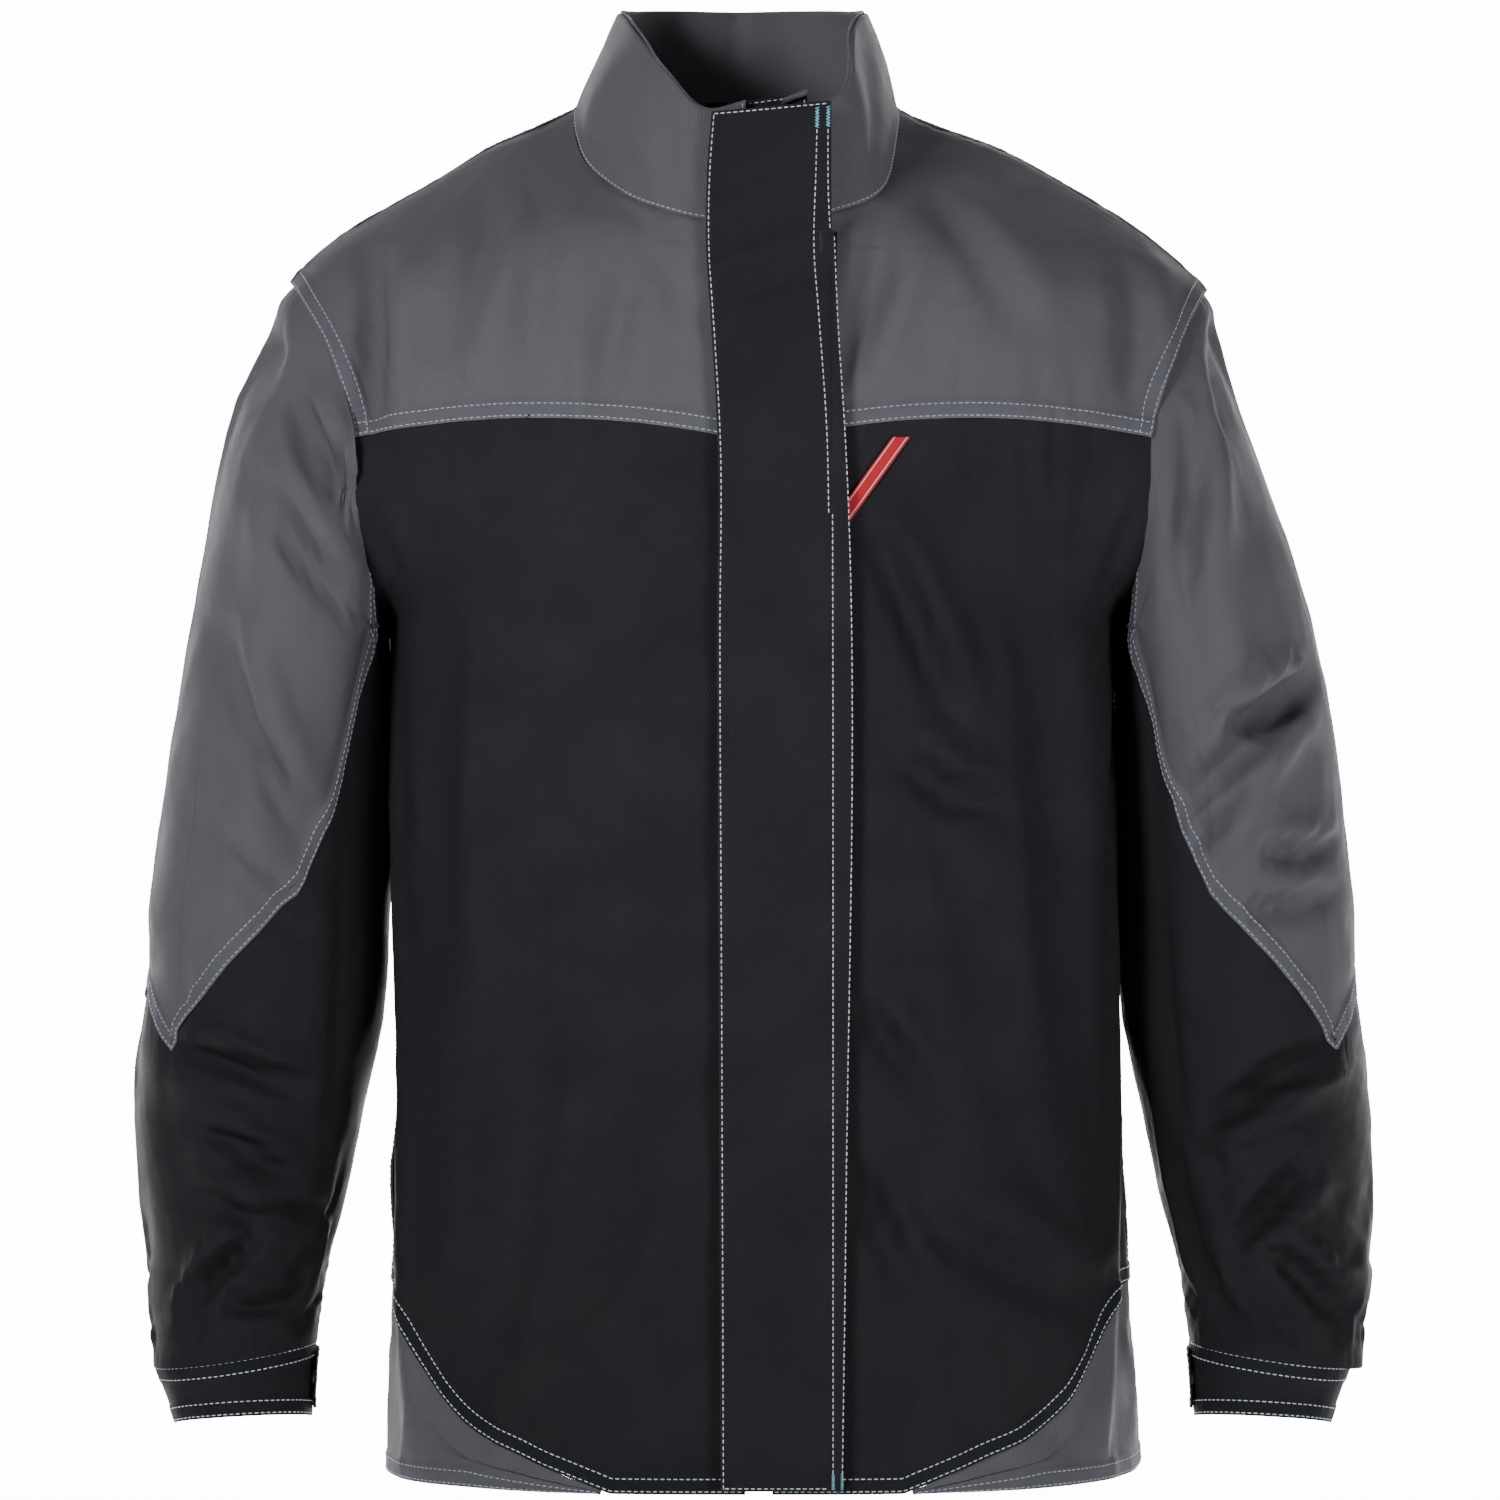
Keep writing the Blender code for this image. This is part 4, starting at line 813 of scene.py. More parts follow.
def run_cloth(points, faces, holds, growths):
    mesh = bpy.data.meshes.new("cloth_simulation")
    mesh.from_pydata(points.tolist(), [], faces)
    thing = bpy.data.objects.new("cloth_simulation", mesh)
    bpy.context.scene.collection.objects.link(thing)
    for name, values in (("hold", holds), ("growth", growths)):
        group = thing.vertex_groups.new(name=name)
        for i, value in enumerate(values):
            group.add([i], value, "REPLACE")
    cloth = thing.modifiers.new("cloth", "CLOTH")
    settings = cloth.settings
    settings.quality = 6
    settings.mass = 0.25
    settings.air_damping = 2.0
    settings.tension_stiffness = 25
    settings.compression_stiffness = 25
    settings.shear_stiffness = 8
    settings.bending_stiffness = 1.2
    settings.vertex_group_mass = "hold"
    settings.pin_stiffness = 1.0
    settings.vertex_group_shrink = "growth"
    settings.shrink_min = 0.0
    settings.shrink_max = -MOST_GROWTH
    settings.effector_weights.gravity = 0.35
    cloth.point_cache.frame_end = SIM_FRAMES
    for number in range(1, SIM_FRAMES + 1):
        bpy.context.scene.frame_set(number)
    evaluated = thing.evaluated_get(bpy.context.evaluated_depsgraph_get())
    moved = np.array([v.co for v in evaluated.data.vertices])
    bpy.data.objects.remove(thing)
    bpy.context.scene.frame_set(1)
    shift = moved - points
    length = np.linalg.norm(shift, axis=1, keepdims=True)
    return points + shift * (MOVE_LIMIT * np.tanh(length / MOVE_LIMIT) / np.maximum(length, 1e-9))


# ---------------------------------------------------------------- panels

def groove(d, place):
    return 0.24 * MM * np.exp(-((d - place) / (0.45 * MM)) ** 2)


def rim(d, size):
    """Rounds a folded edge off."""
    return size * np.clip(1 - d / (0.7 * MM), 0, 1) ** 2


def felled(d):
    raised = 0.75 * MM * (1 - smooth((d - BAND_WIDTH) / (2.2 * MM)))
    return raised - groove(d, FIRST_LINE) - groove(d, SECOND_LINE) - rim(d, 0.3 * MM)


def single(d):
    return 0.35 * MM * (1 - smooth((d - 4 * MM) / (3 * MM))) - groove(d, FIRST_LINE) - rim(d, 0.3 * MM)


def tucked(d):
    return -0.15 * MM * np.exp(-d / (2 * MM))


def rolled(d):
    radius = 1.9 * MM
    inward = np.clip(radius - d, 0, radius)
    return np.sqrt(np.maximum(radius**2 - inward**2, 0)) - radius


def plain(d):
    return d * 0.0


# edge kind: steps, relief over distance, stitch lines' places in the steps, pucker depth
EDGES = {
    "felled": (STITCHED_STEPS, felled, (FIRST_STEP, SECOND_STEP), 0.34 * MM),
    "single": (PLAIN_STEPS, single, (SINGLE_STEP,), 0.25 * MM),
    "tucked": (PLAIN_STEPS, tucked, (), 0.30 * MM),
    "rolled": (PLAIN_STEPS, rolled, (), 0.0),
    "plain": (PLAIN_STEPS, plain, (), 0.0),
}
def lean(edge, across):
    """Sine of the angle between an edge line and the lines that meet it."""
    along = unit(np.gradient(edge, axis=0))
    return np.clip(np.linalg.norm(np.cross(along, unit(across)), axis=-1), 0.5, 1.0)


def marks(low, high, lengths, lean_low, lean_high):
    """Distances along lines: fixed steps from both ends, and even steps in between."""
    low_steps, high_steps = EDGES[low][0], EDGES[high][0]
    fit = np.minimum(1.0, 0.46 * lengths / low_steps[-1])
    start = low_steps[:, None] / lean_low * fit
    end = lengths - high_steps[::-1, None] / lean_high * fit
    end = np.maximum(end, start[-1] + 1e-6 * np.arange(1, len(end) + 1)[:, None])
    count = max(1, int(np.max(lengths) / PITCH) - 10)
    between = np.linspace(0, 1, count + 2)[1:-1, None]
    return np.concatenate([start, start[-1] + (end[0] - start[-1]) * between, end])


class Cut:
    """A panel cut from a surface between four edges, as a fine grid of points and normals."""

    def __init__(self, surface, span, low, high, inside, foot, top, left, right, seed=0, inward=False):
        self.kinds = {"foot": foot, "top": top, "left": left, "right": right}
        self.seed = seed
        self.facing = -1.0 if inward else 1.0
        across = np.linspace(span[0], span[1], 181)
        bottom, ceiling = low(across), high(across)
        t = bottom + (ceiling - bottom) * np.linspace(0, 1, 221)[:, None]
        p = surface(np.broadcast_to(across, t.shape), t)
        walked = walk(p, 0)
        foot_lean, top_lean = lean(p[0], p[1] - p[0]), lean(p[-1], p[-1] - p[-2])
        up = marks(foot, top, walked[-1], foot_lean, top_lean)
        rows = np.array([np.interp(up[:, k], walked[:, k], t[:, k]) for k in range(len(across))]).T
        p = surface(np.broadcast_to(across, rows.shape), rows)
        walked_across = walk(p, 1)
        left_lean = lean(p[:, 0], p[:, 1] - p[:, 0])
        right_lean = lean(p[:, -1], p[:, -1] - p[:, -2])
        over = marks(left, right, walked_across[:, -1], left_lean, right_lean).T
        n = len(rows)
        self.c = np.array([np.interp(over[i], walked_across[i], across) for i in range(n)])
        self.t = np.array([np.interp(self.c[i], across, rows[i]) for i in range(n)])
        from_foot = np.array([np.interp(self.c[i], across, up[i] * foot_lean) for i in range(n)])
        from_top = np.array([np.interp(self.c[i], across, (walked[-1] - up[i]) * top_lean)
                             for i in range(n)])
        self.away = {"foot": from_foot, "top": from_top, "left": over * left_lean[:, None],
                     "right": (walked_across[:, -1:] - over) * right_lean[:, None]}
        self.u = over - walked_across[:, -1:] / 2
        self.v = np.array([np.interp(self.c[i], across, up[i]) for i in range(n)])
        self.points = surface(self.c, self.t)
        self.inside = np.asarray(inside, float)
        self.lines = []
        self.set_normals()

    def set_normals(self):
        normal = unit(np.cross(np.gradient(self.points, axis=1), np.gradient(self.points, axis=0)))
        self.normals = normal * np.sign(np.sum(normal * (self.points - self.inside))) * self.facing

    def emboss(self, masks=None, ripple=0.0):
        """Raises the seams, presses in the stitch grooves and puckers, marks the seam bands and the rubbed
        seam edges with their painted highlight, and lists the stitch lines.
        """
        height = np.zeros(self.c.shape)
        self.band = np.zeros(self.c.shape)
        self.wear_and_highlight = np.zeros(self.c.shape)
        for number, (name, kind) in enumerate(self.kinds.items()):
            steps, relief, lines, pucker = EDGES[kind]
            mask = masks[name](self.t) if masks and name in masks else np.ones(self.c.shape)
            d = self.away[name]
            run = self.u if name in ("foot", "top") else self.v
            height += relief(d) * mask
            reach = np.exp(-((d - 5 * MM) / (6.5 * MM)) ** 2)
            height += pucker * reach * mask * waves(run, PUCKERS, self.seed + number)
            if lines:
                # The stitched seams' folded edges: rubbed wear, and a painted highlight along the rim
                self.wear_and_highlight = np.maximum(self.wear_and_highlight, mask * np.exp(-d / (0.8 * MM)))
            if kind == "felled":
                self.band = np.maximum(self.band, mask * (1 - smooth((d - SECOND_LINE) / (1.2 * MM))))
        if ripple:
            height += ripple * ripples(self.points, 0.034, self.seed + 11)
            height += 0.45 * ripple * ripples(self.points, 0.015, self.seed + 12)
        self.points = self.points + self.normals * height[..., None]
        self.set_normals()
        for name, kind in self.kinds.items():
            for k in EDGES[kind][2]:
                self.add_line(name, k, masks)
        return self

    def add_line(self, name, k, masks):
        row = {"foot": (k, slice(None)), "top": (-1 - k, slice(None)),
               "left": (slice(None), k), "right": (slice(None), -1 - k)}[name]
        keep = np.ones(len(self.points[row]), bool)
        if masks and name in masks:
            keep = masks[name](self.t[row]) > 0.5
        if np.count_nonzero(keep) > 2:
            self.lines.append((self.points[row][keep], self.normals[row][keep]))

    def area(self):
        a = self.points[1:, 1:] - self.points[:-1, :-1]
        b = self.points[1:, :-1] - self.points[:-1, 1:]
        return float(np.linalg.norm(np.cross(a, b), axis=-1).sum() / 2)

    def size(self):
        width = np.mean(walk(self.points, 1)[:, -1])
        length = np.mean(walk(self.points, 0)[-1])
        return float(width), float(length)


def grid_faces(rows, columns, first=0):
    corner = first + np.arange(rows * columns).reshape(rows, columns)
    return np.stack([corner[:-1, :-1], corner[:-1, 1:], corner[1:, 1:], corner[1:, :-1]],
                    axis=-1).reshape(-1, 4)


def shown(name, mesh, material):
    mesh.materials.append(material)
    mesh.shade_smooth()
    mesh.set_sharp_from_angle(angle=math.radians(50))
    thing = bpy.data.objects.new(name, mesh)
    bpy.context.scene.collection.objects.link(thing)
    return thing


def cloth_piece(name, cuts, thickness, material):
    """One cloth object from one or more cuts, with its weave's coordinates in metres."""
    points, faces, uvs, bands, wears_and_highlights = [], [], [], [], []
    first = 0
    for cut in cuts:
        rows, columns = cut.c.shape
        found = grid_faces(rows, columns, first)
        a, b, c = (cut.points.reshape(-1, 3)[found[:, k] - first] for k in (0, 1, 3))
        turned = np.sum(np.cross(b - a, c - a) * cut.normals.reshape(-1, 3)[found[:, 0] - first])
        faces.append(found if turned > 0 else found[:, ::-1])
        points.append(cut.points.reshape(-1, 3))
        uvs.append(np.stack([cut.u, cut.v], axis=-1).reshape(-1, 2))
        bands.append(cut.band.ravel())
        wears_and_highlights.append(cut.wear_and_highlight.ravel())
        first += rows * columns
    mesh = bpy.data.meshes.new(name)
    mesh.from_pydata(np.concatenate(points).tolist(), [], np.concatenate(faces).tolist())
    corners = np.zeros(len(mesh.loops), int)
    mesh.loops.foreach_get("vertex_index", corners)
    mesh.uv_layers.new(name="cloth").data.foreach_set("uv", np.concatenate(uvs)[corners].ravel())
    # Per point: the felled seam band, and the rubbed seam edges with their painted highlight
    for label, values in (("band", bands), ("wear_and_highlight", wears_and_highlights)):
        layer = mesh.attributes.new(label, "FLOAT", "POINT")
        layer.data.foreach_set("value", np.concatenate(values).astype(np.float32))
    thing = shown(name, mesh, material)
    if thickness:
        modifier = thing.modifiers.new("thickness", "SOLIDIFY")
        modifier.thickness = thickness
        modifier.offset = -1.0
    return thing


# ---------------------------------------------------------------- stitches

def stitch_points(path, normals):
    """Rings of points for every stitch along one line: short threads that dip at both ends."""
    run = walk(path, 0)
    count = int((run[-1] - 2 * MM) / STITCH_PITCH)
    if count < 1:
        return np.zeros((0, 5, 6, 3))
    first = (run[-1] - count * STITCH_PITCH) / 2
    starts = first + STITCH_PITCH * np.arange(count)
    along = starts[:, None] + STITCH_LENGTH * np.array([0.0, 0.16, 0.5, 0.84, 1.0])
    centre = np.stack([np.interp(along, run, path[:, k]) for k in range(3)], axis=-1)
    normal = unit(np.stack([np.interp(along, run, normals[:, k]) for k in range(3)], axis=-1))
    return thread_rings(centre, normal)


def thread_rings(centre, normal):
    """Rings of six points round every stitch's five middle points."""
    forward = unit(centre[:, 4:] - centre[:, :1])
    aside = unit(np.cross(normal, forward))
    radius = THREAD * np.array([0.35, 0.9, 1.0, 0.9, 0.35])[:, None, None]
    lift = MM * np.array([-0.10, 0.16, 0.26, 0.16, -0.10])[:, None]
    turn = np.arange(6) * math.pi / 3
    ring = (aside[:, :, None, :] * np.cos(turn)[:, None] + normal[:, :, None, :] * np.sin(turn)[:, None])
    return (centre + normal * lift)[:, :, None, :] + ring * radius


def tack(line, width, length, from_end=0.0, back=True):
    """A bar tack: a dense zigzag over the end of a stitch line, or over its start."""
    path, normals = (np.asarray(x)[::-1] if back else np.asarray(x) for x in line)
    run = walk(path, 0)
    places = from_end + length * np.arange(TACK_STITCHES + 1) / TACK_STITCHES
    middle = np.stack([np.interp(places, run, path[:, k]) for k in range(3)], axis=-1)
    normal = unit(np.stack([np.interp(places, run, normals[:, k]) for k in range(3)], axis=-1))
    aside = unit(np.cross(normal, unit(np.gradient(middle, axis=0))))
    ends = middle + aside * (width / 2 * (-1.0) ** np.arange(len(places)))[:, None]
    f = np.array([0.0, 0.16, 0.5, 0.84, 1.0])[:, None]
    centre = ends[:-1, None] * (1 - f) + ends[1:, None] * f
    return thread_rings(centre, np.repeat(normal[:-1, None], 5, axis=1))


def stitches(name, lines, material):
    """One object of all the stitches along the given lines."""
    return threads(name, [stitch_points(path, normals) for path, normals in lines], material)


def threads(name, groups, material):
    rings = np.concatenate(groups)
    count = len(rings)
    corner = np.arange(count * 30).reshape(count, 5, 6)
    nxt = np.roll(corner, -1, axis=2)
    sides = np.stack([corner[:, :-1], nxt[:, :-1], nxt[:, 1:], corner[:, 1:]], axis=-1).reshape(-1, 4)
    caps = np.concatenate([corner[:, 0, ::-1], corner[:, 4]])
    mesh = bpy.data.meshes.new(name)
    mesh.from_pydata(rings.reshape(-1, 3).tolist(), [], sides.tolist() + caps.tolist())
    mesh.update()
    return shown(name, mesh, material)


# ---------------------------------------------------------------- materials

def wire(tree, kind, inputs=None, **settings):
    """Adds a node, sets its properties, and fills or links its inputs."""
    made = tree.nodes.new(kind)
    for key, value in settings.items():
        setattr(made, key, value)
    for key, value in (inputs or {}).items():
        if isinstance(value, bpy.types.NodeSocket):
            tree.links.new(value, made.inputs[key])
        else:
            made.inputs[key].default_value = value
    return made


def new_material(name, roughness=0.8, metallic=0.0, sheen=0.0, specular=0.3):
    made = bpy.data.materials.new(name)
    made.use_nodes = True
    shader = made.node_tree.nodes["Principled BSDF"]
    shader.inputs["Roughness"].default_value = roughness
    shader.inputs["Metallic"].default_value = metallic
    shader.inputs["Sheen Weight"].default_value = sheen
    shader.inputs["Sheen Roughness"].default_value = 0.45
    shader.inputs["Specular IOR Level"].default_value = specular
    return made, made.node_tree, shader


def stripes(tree, where, direction, pitch):
    """0 to 1 across fine stripes that repeat every pitch in metres along a direction."""
    scaled = tuple(2 * math.pi / pitch * x for x in direction)
    dot = wire(tree, "ShaderNodeVectorMath", {0: where, 1: scaled}, operation="DOT_PRODUCT")
    sine = wire(tree, "ShaderNodeMath", {0: dot.outputs["Value"]}, operation="SINE")
    return wire(tree, "ShaderNodeMath", {0: sine.outputs[0], 1: 0.5, 2: 0.5},
                operation="MULTIPLY_ADD").outputs[0]


def noise(tree, where, scale, detail=3.0):
    return wire(tree, "ShaderNodeTexNoise", {"Vector": where, "Scale": scale, "Detail": detail},
                ).outputs["Fac"]


def ramp(tree, value, low, high):
    """A map of 0.3..0.7, where a noise mostly lies, to low..high."""
    return wire(tree, "ShaderNodeMapRange", {"Value": value, "From Min": 0.3, "From Max": 0.7,
                                             "To Min": low, "To Max": high}).outputs[0]


def times(tree, a, b):
    return wire(tree, "ShaderNodeMath", {0: a, 1: b}, operation="MULTIPLY").outputs[0]


def tint(tree, share, colour, other):
    """Mixes two colours, which may be sockets, by a share."""
    made = wire(tree, "ShaderNodeMix", {0: share}, data_type="RGBA")
    for place, value in ((6, colour), (7, other)):
        if isinstance(value, bpy.types.NodeSocket):
            tree.links.new(value, made.inputs[place])
        else:
            made.inputs[place].default_value = (*value, 1.0)
    return made.outputs[2]


def twill(name, colour, band, worn, pitch=1.5 * MM, sheen=0.0, specular=0.12):
    """Woven twill: steep diagonal wales of crossing threads, lighter on their ridges and darker in their
    valleys, partly painted shade; mottled, and lighter at worn edges, partly a painted highlight along their
    rims.
    """
    material, tree, shader = new_material(name, 0.82, sheen=sheen, specular=specular)
    where = wire(tree, "ShaderNodeUVMap", uv_map="cloth").outputs[0]
    place = wire(tree, "ShaderNodeTexCoord").outputs["Object"]
    wale = stripes(tree, where, (0.80, -0.60, 0.0), pitch)
    thread = stripes(tree, where, (0.55, 0.83, 0.0), pitch * 0.62)
    weave = wire(tree, "ShaderNodeMath", {0: thread, 1: 0.35, 2: wale}, operation="MULTIPLY_ADD").outputs[0]
    dark = tuple(0.80 * c for c in colour)
    light = tuple(1.12 * c for c in colour)
    base = tint(tree, ramp(tree, noise(tree, place, 6.0, 4.0), 0.30, 0.62), dark, light)
    base = tint(tree, ramp(tree, noise(tree, place, 260.0, 2.0), 0.0, 0.30), base, dark)
    # Lighter on the wales' ridges and darker in their valleys: the twill's woven lines, partly painted shade
    # in the valleys
    base = tint(tree, times(tree, weave, 0.45), base, light)
    band_share = wire(tree, "ShaderNodeAttribute", attribute_name="band").outputs["Fac"]
    base = tint(tree, times(tree, band_share, 0.55), base, band)
    # Lighter along the seams' folded edges: partly rubbed wear, partly a painted highlight along the rim
    wear_and_highlight = wire(tree, "ShaderNodeAttribute", attribute_name="wear_and_highlight").outputs["Fac"]
    rubbed_and_highlighted = times(tree, wear_and_highlight, ramp(tree, noise(tree, place, 90.0, 4.0), 0.25, 0.9))
    base = tint(tree, rubbed_and_highlighted, base, worn)
    tree.links.new(base, shader.inputs["Base Color"])
    rough = ramp(tree, noise(tree, place, 25.0, 4.0), 0.72, 0.92)
    tree.links.new(rough, shader.inputs["Roughness"])
    fuzz = noise(tree, place, 1500.0, 2.0)
    height = wire(tree, "ShaderNodeMath", {0: fuzz, 1: 0.6, 2: weave}, operation="MULTIPLY_ADD").outputs[0]
    bump = wire(tree, "ShaderNodeBump", {"Height": height, "Distance": 0.16 * MM, "Strength": 0.75})
    tree.links.new(bump.outputs[0], shader.inputs["Normal"])
    return material


def thread_material(name, colour, other):
    material, tree, shader = new_material(name, 0.55, sheen=0.2)
    place = wire(tree, "ShaderNodeTexCoord").outputs["Object"]
    twist = stripes(tree, place, (0.6, 0.5, 0.62), 0.5 * MM)
    shade = tint(tree, ramp(tree, noise(tree, place, 35.0, 3.0), 0.0, 0.9), colour, other)
    shade = tint(tree, times(tree, twist, 0.35), shade, tuple(0.55 * c for c in colour))
    tree.links.new(shade, shader.inputs["Base Color"])
    bump = wire(tree, "ShaderNodeBump", {"Height": twist, "Distance": 0.06 * MM, "Strength": 0.8})
    tree.links.new(bump.outputs[0], shader.inputs["Normal"])
    return material


def metal(name, colour, worn, roughness):
    """Plated metal, worn brighter in places, with fine scratches."""
    material, tree, shader = new_material(name, roughness, metallic=1.0)
    place = wire(tree, "ShaderNodeTexCoord").outputs["Object"]
    cloud = noise(tree, place, 220.0, 5.0)
    tree.links.new(tint(tree, ramp(tree, cloud, 0.0, 1.0), colour, worn), shader.inputs["Base Color"])
    tree.links.new(ramp(tree, cloud, roughness * 0.8, roughness * 1.35), shader.inputs["Roughness"])
    scratches = noise(tree, place, 3000.0, 2.0)
    bump = wire(tree, "ShaderNodeBump", {"Height": scratches, "Distance": 0.02 * MM, "Strength": 0.5})
    tree.links.new(bump.outputs[0], shader.inputs["Normal"])
    return material


def label_material():
    """Red satin ribbon with a pale line woven along both long edges."""
    material, tree, shader = new_material("label_ribbon", 0.5)
    where = wire(tree, "ShaderNodeUVMap", uv_map="cloth").outputs[0]
    place = wire(tree, "ShaderNodeTexCoord").outputs["Object"]
    ribs = stripes(tree, where, (0.0, 1.0, 0.0), 0.55 * MM)
    red = tint(tree, ramp(tree, noise(tree, place, 120.0), 0.0, 0.5), (0.34, 0.003, 0.012),
               (0.24, 0.002, 0.008))
    red = tint(tree, times(tree, ribs, 0.25), red, (0.20, 0.003, 0.008))
    across = wire(tree, "ShaderNodeSeparateXYZ", {0: where}).outputs[0]
    aside = wire(tree, "ShaderNodeMath", {0: across}, operation="ABSOLUTE").outputs[0]
    off = wire(tree, "ShaderNodeMath", {0: aside, 1: LABEL_LINE}, operation="SUBTRACT").outputs[0]
    off = wire(tree, "ShaderNodeMath", {0: off}, operation="ABSOLUTE").outputs[0]
    line = wire(tree, "ShaderNodeMapRange", {"Value": off, "From Min": 0.20 * MM, "From Max": 0.42 * MM,
                                             "To Min": 0.85, "To Max": 0.0}).outputs[0]
    tree.links.new(tint(tree, line, red, (0.50, 0.42, 0.40)), shader.inputs["Base Color"])
    bump = wire(tree, "ShaderNodeBump", {"Height": ribs, "Distance": 0.08 * MM, "Strength": 0.7})
    tree.links.new(bump.outputs[0], shader.inputs["Normal"])
    return material


# Each twill's last colour is the colour of its rubbed edges, with a painted highlight
LOOKS = {
    "grey_twill": twill("grey_twill_cloth", GREY, GREY_BAND, GREY_WORN_AND_HIGHLIGHT),
    "black_twill": twill("black_twill_cloth", BLACK, BLACK_BAND, BLACK_WORN_AND_HIGHLIGHT),
    "collar_lining_twill": twill("collar_lining_cloth", (0.075, 0.071, 0.082), (0.075, 0.075, 0.086),
                                 (0.11, 0.11, 0.13)),
    "pocket_cotton": twill("pocket_cotton_cloth", (0.050, 0.048, 0.055), (0.06, 0.06, 0.07),
                           (0.10, 0.10, 0.11), pitch=0.8 * MM),
    "zip_tape_black": twill("zip_tape_weave", (0.012, 0.012, 0.014), (0.014, 0.014, 0.016),
                            (0.03, 0.03, 0.03), pitch=0.7 * MM),
    "snap_metal": metal("snap_metal_plated", (0.30, 0.29, 0.27), (0.52, 0.50, 0.46), 0.30),
    "zip_brass": metal("zip_brass_worn", (0.36, 0.25, 0.10), (0.62, 0.46, 0.20), 0.32),
    "red_label": label_material(),
}
PALE_THREAD = thread_material("thread_pale", (0.56, 0.60, 0.62), (0.34, 0.46, 0.52))
BLUE_THREAD = thread_material("thread_blue_grey", (0.29, 0.32, 0.37), (0.20, 0.26, 0.32))
TEAL_THREAD = thread_material("thread_teal", (0.06, 0.24, 0.32), (0.14, 0.34, 0.42))


# ---------------------------------------------------------------- placing pieces

body_lines = {"pale": [], "blue": []}
body_tacks = []


def body_sheet(name, cuts, look, nodes, thickness=CLOTH):
    """A cloth panel that rides on the jacket's body."""
    piece = cloth_piece(name, cuts, thickness, LOOKS[look])
    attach(piece, "jacket_body")
    finish_sheet(cuts, nodes)
    thread = "blue" if look == "grey_twill" else "pale"
    for cut in cuts:
        body_lines[thread].extend(cut.lines)
    return piece


def finish_sheet(cuts, nodes):
    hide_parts(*nodes)
    width, length = (sum(sizes) for sizes in zip(*(cut.size() for cut in cuts)))
    area = sum(cut.area() for cut in cuts)
    if len(cuts) > 1:
        width = max(cut.size()[0] for cut in cuts)
    width = max(width, area / length)


def level(value):
    return lambda c: np.full(np.shape(c), float(value))


def make_fronts(shells):
    for side, _, name in SIDES:
        shell = shells[f"front_{name}"]

        def pocketed(s, t, shell=shell):
            return shell.at(s * (1.0 - mouth(t)), t)

        cut = Cut(pocketed, (0.0, 1.0), corner_height, level(2.0 + TUCK_UNDER), TORSO_MIDDLE,
                  "felled", "tucked", "single", "felled", seed=10 + side)
        cut.emboss(masks={"right": lambda t: 1.0 - smooth((t - 0.90) / 0.05)}, ripple=0.30 * MM)
        body_sheet(f"front_panel_{name}_cloth", [cut], "black_twill",
                   [f"front_panel_{name}"])
        body_tacks.append(tack(cut.lines[0], 2.6 * MM, 11 * MM))
        cut = Cut(shell.at, (0.0, 1.0), level(2.0), level(3.0), YOKE_MIDDLE,
                  "felled", "tucked", "plain", "felled", seed=20 + side)
        cut.emboss(ripple=0.30 * MM)
        body_sheet(f"front_yoke_{name}_cloth", [cut], "grey_twill",
                   [f"front_yoke_{name}"])


def make_back(shells):
    whole = whole_back(shells)

    def pocketed(s, t):
        return whole.at(s * (1.0 - mouth(t)), t)

    def armhole(t):
        return smooth((t - 1.0) / 0.08)

    cut = Cut(pocketed, (-1.0, 1.0), corner_height, level(2.0 + TUCK_UNDER), TORSO_MIDDLE,
              "felled", "tucked", "felled", "felled", seed=30)
    cut.emboss(masks={"left": armhole, "right": armhole}, ripple=0.35 * MM)
    body_sheet("back_panel_cloth", [cut], "black_twill", ["back_panel"])
    halves = []
    for side, _, name in SIDES:
        half = Cut(shells[f"back_{name}"].at, (0.0, 1.0), level(2.0), level(3.0), YOKE_MIDDLE,
                   "felled", "felled", "plain", "felled", seed=31)
        halves.append(half.emboss(ripple=0.30 * MM))
    body_sheet("back_yoke_cloth", halves, "grey_twill", ["back_yoke"])


def make_hem_sides(shells):
    for side, _, name in SIDES:
        def around(c, t, front=shells[f"front_{name}"], back=shells[f"back_{name}"]):
            on_front = (c <= 1.0)[..., None]
            return np.where(on_front, front.at(np.minimum(c, 1.0), t),
                            back.at(np.clip(2.0 - c, 0, 1), t))

        cut = Cut(around, (CORNER_START, 2.0 - CORNER_START), level(0.0),
                  lambda c: corner_height(1.0 - np.abs(c - 1.0)), (0.05 * side, -0.07, -0.70),
                  "felled", "tucked", "plain", "plain", seed=40 + side)
        cut.emboss(ripple=0.35 * MM)
        body_sheet(f"hem_side_panel_{name}_cloth", [cut], "grey_twill",
                   [f"hem_side_panel_{name}"])


# ---------------------------------------------------------------- sleeves and cuffs

def seam_shares():
    """The share of each sleeve line at which the colour seam crosses it, by degrees."""
    degrees = list(range(-180, 181, 5))
    shares = [sleeve_line(d).share_at_height(float(line_at(COLOUR_SEAM, abs(d)))) for d in degrees]
    return list(zip(degrees, shares))


def follow_sleeve(piece, side, name):
    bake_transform(piece)


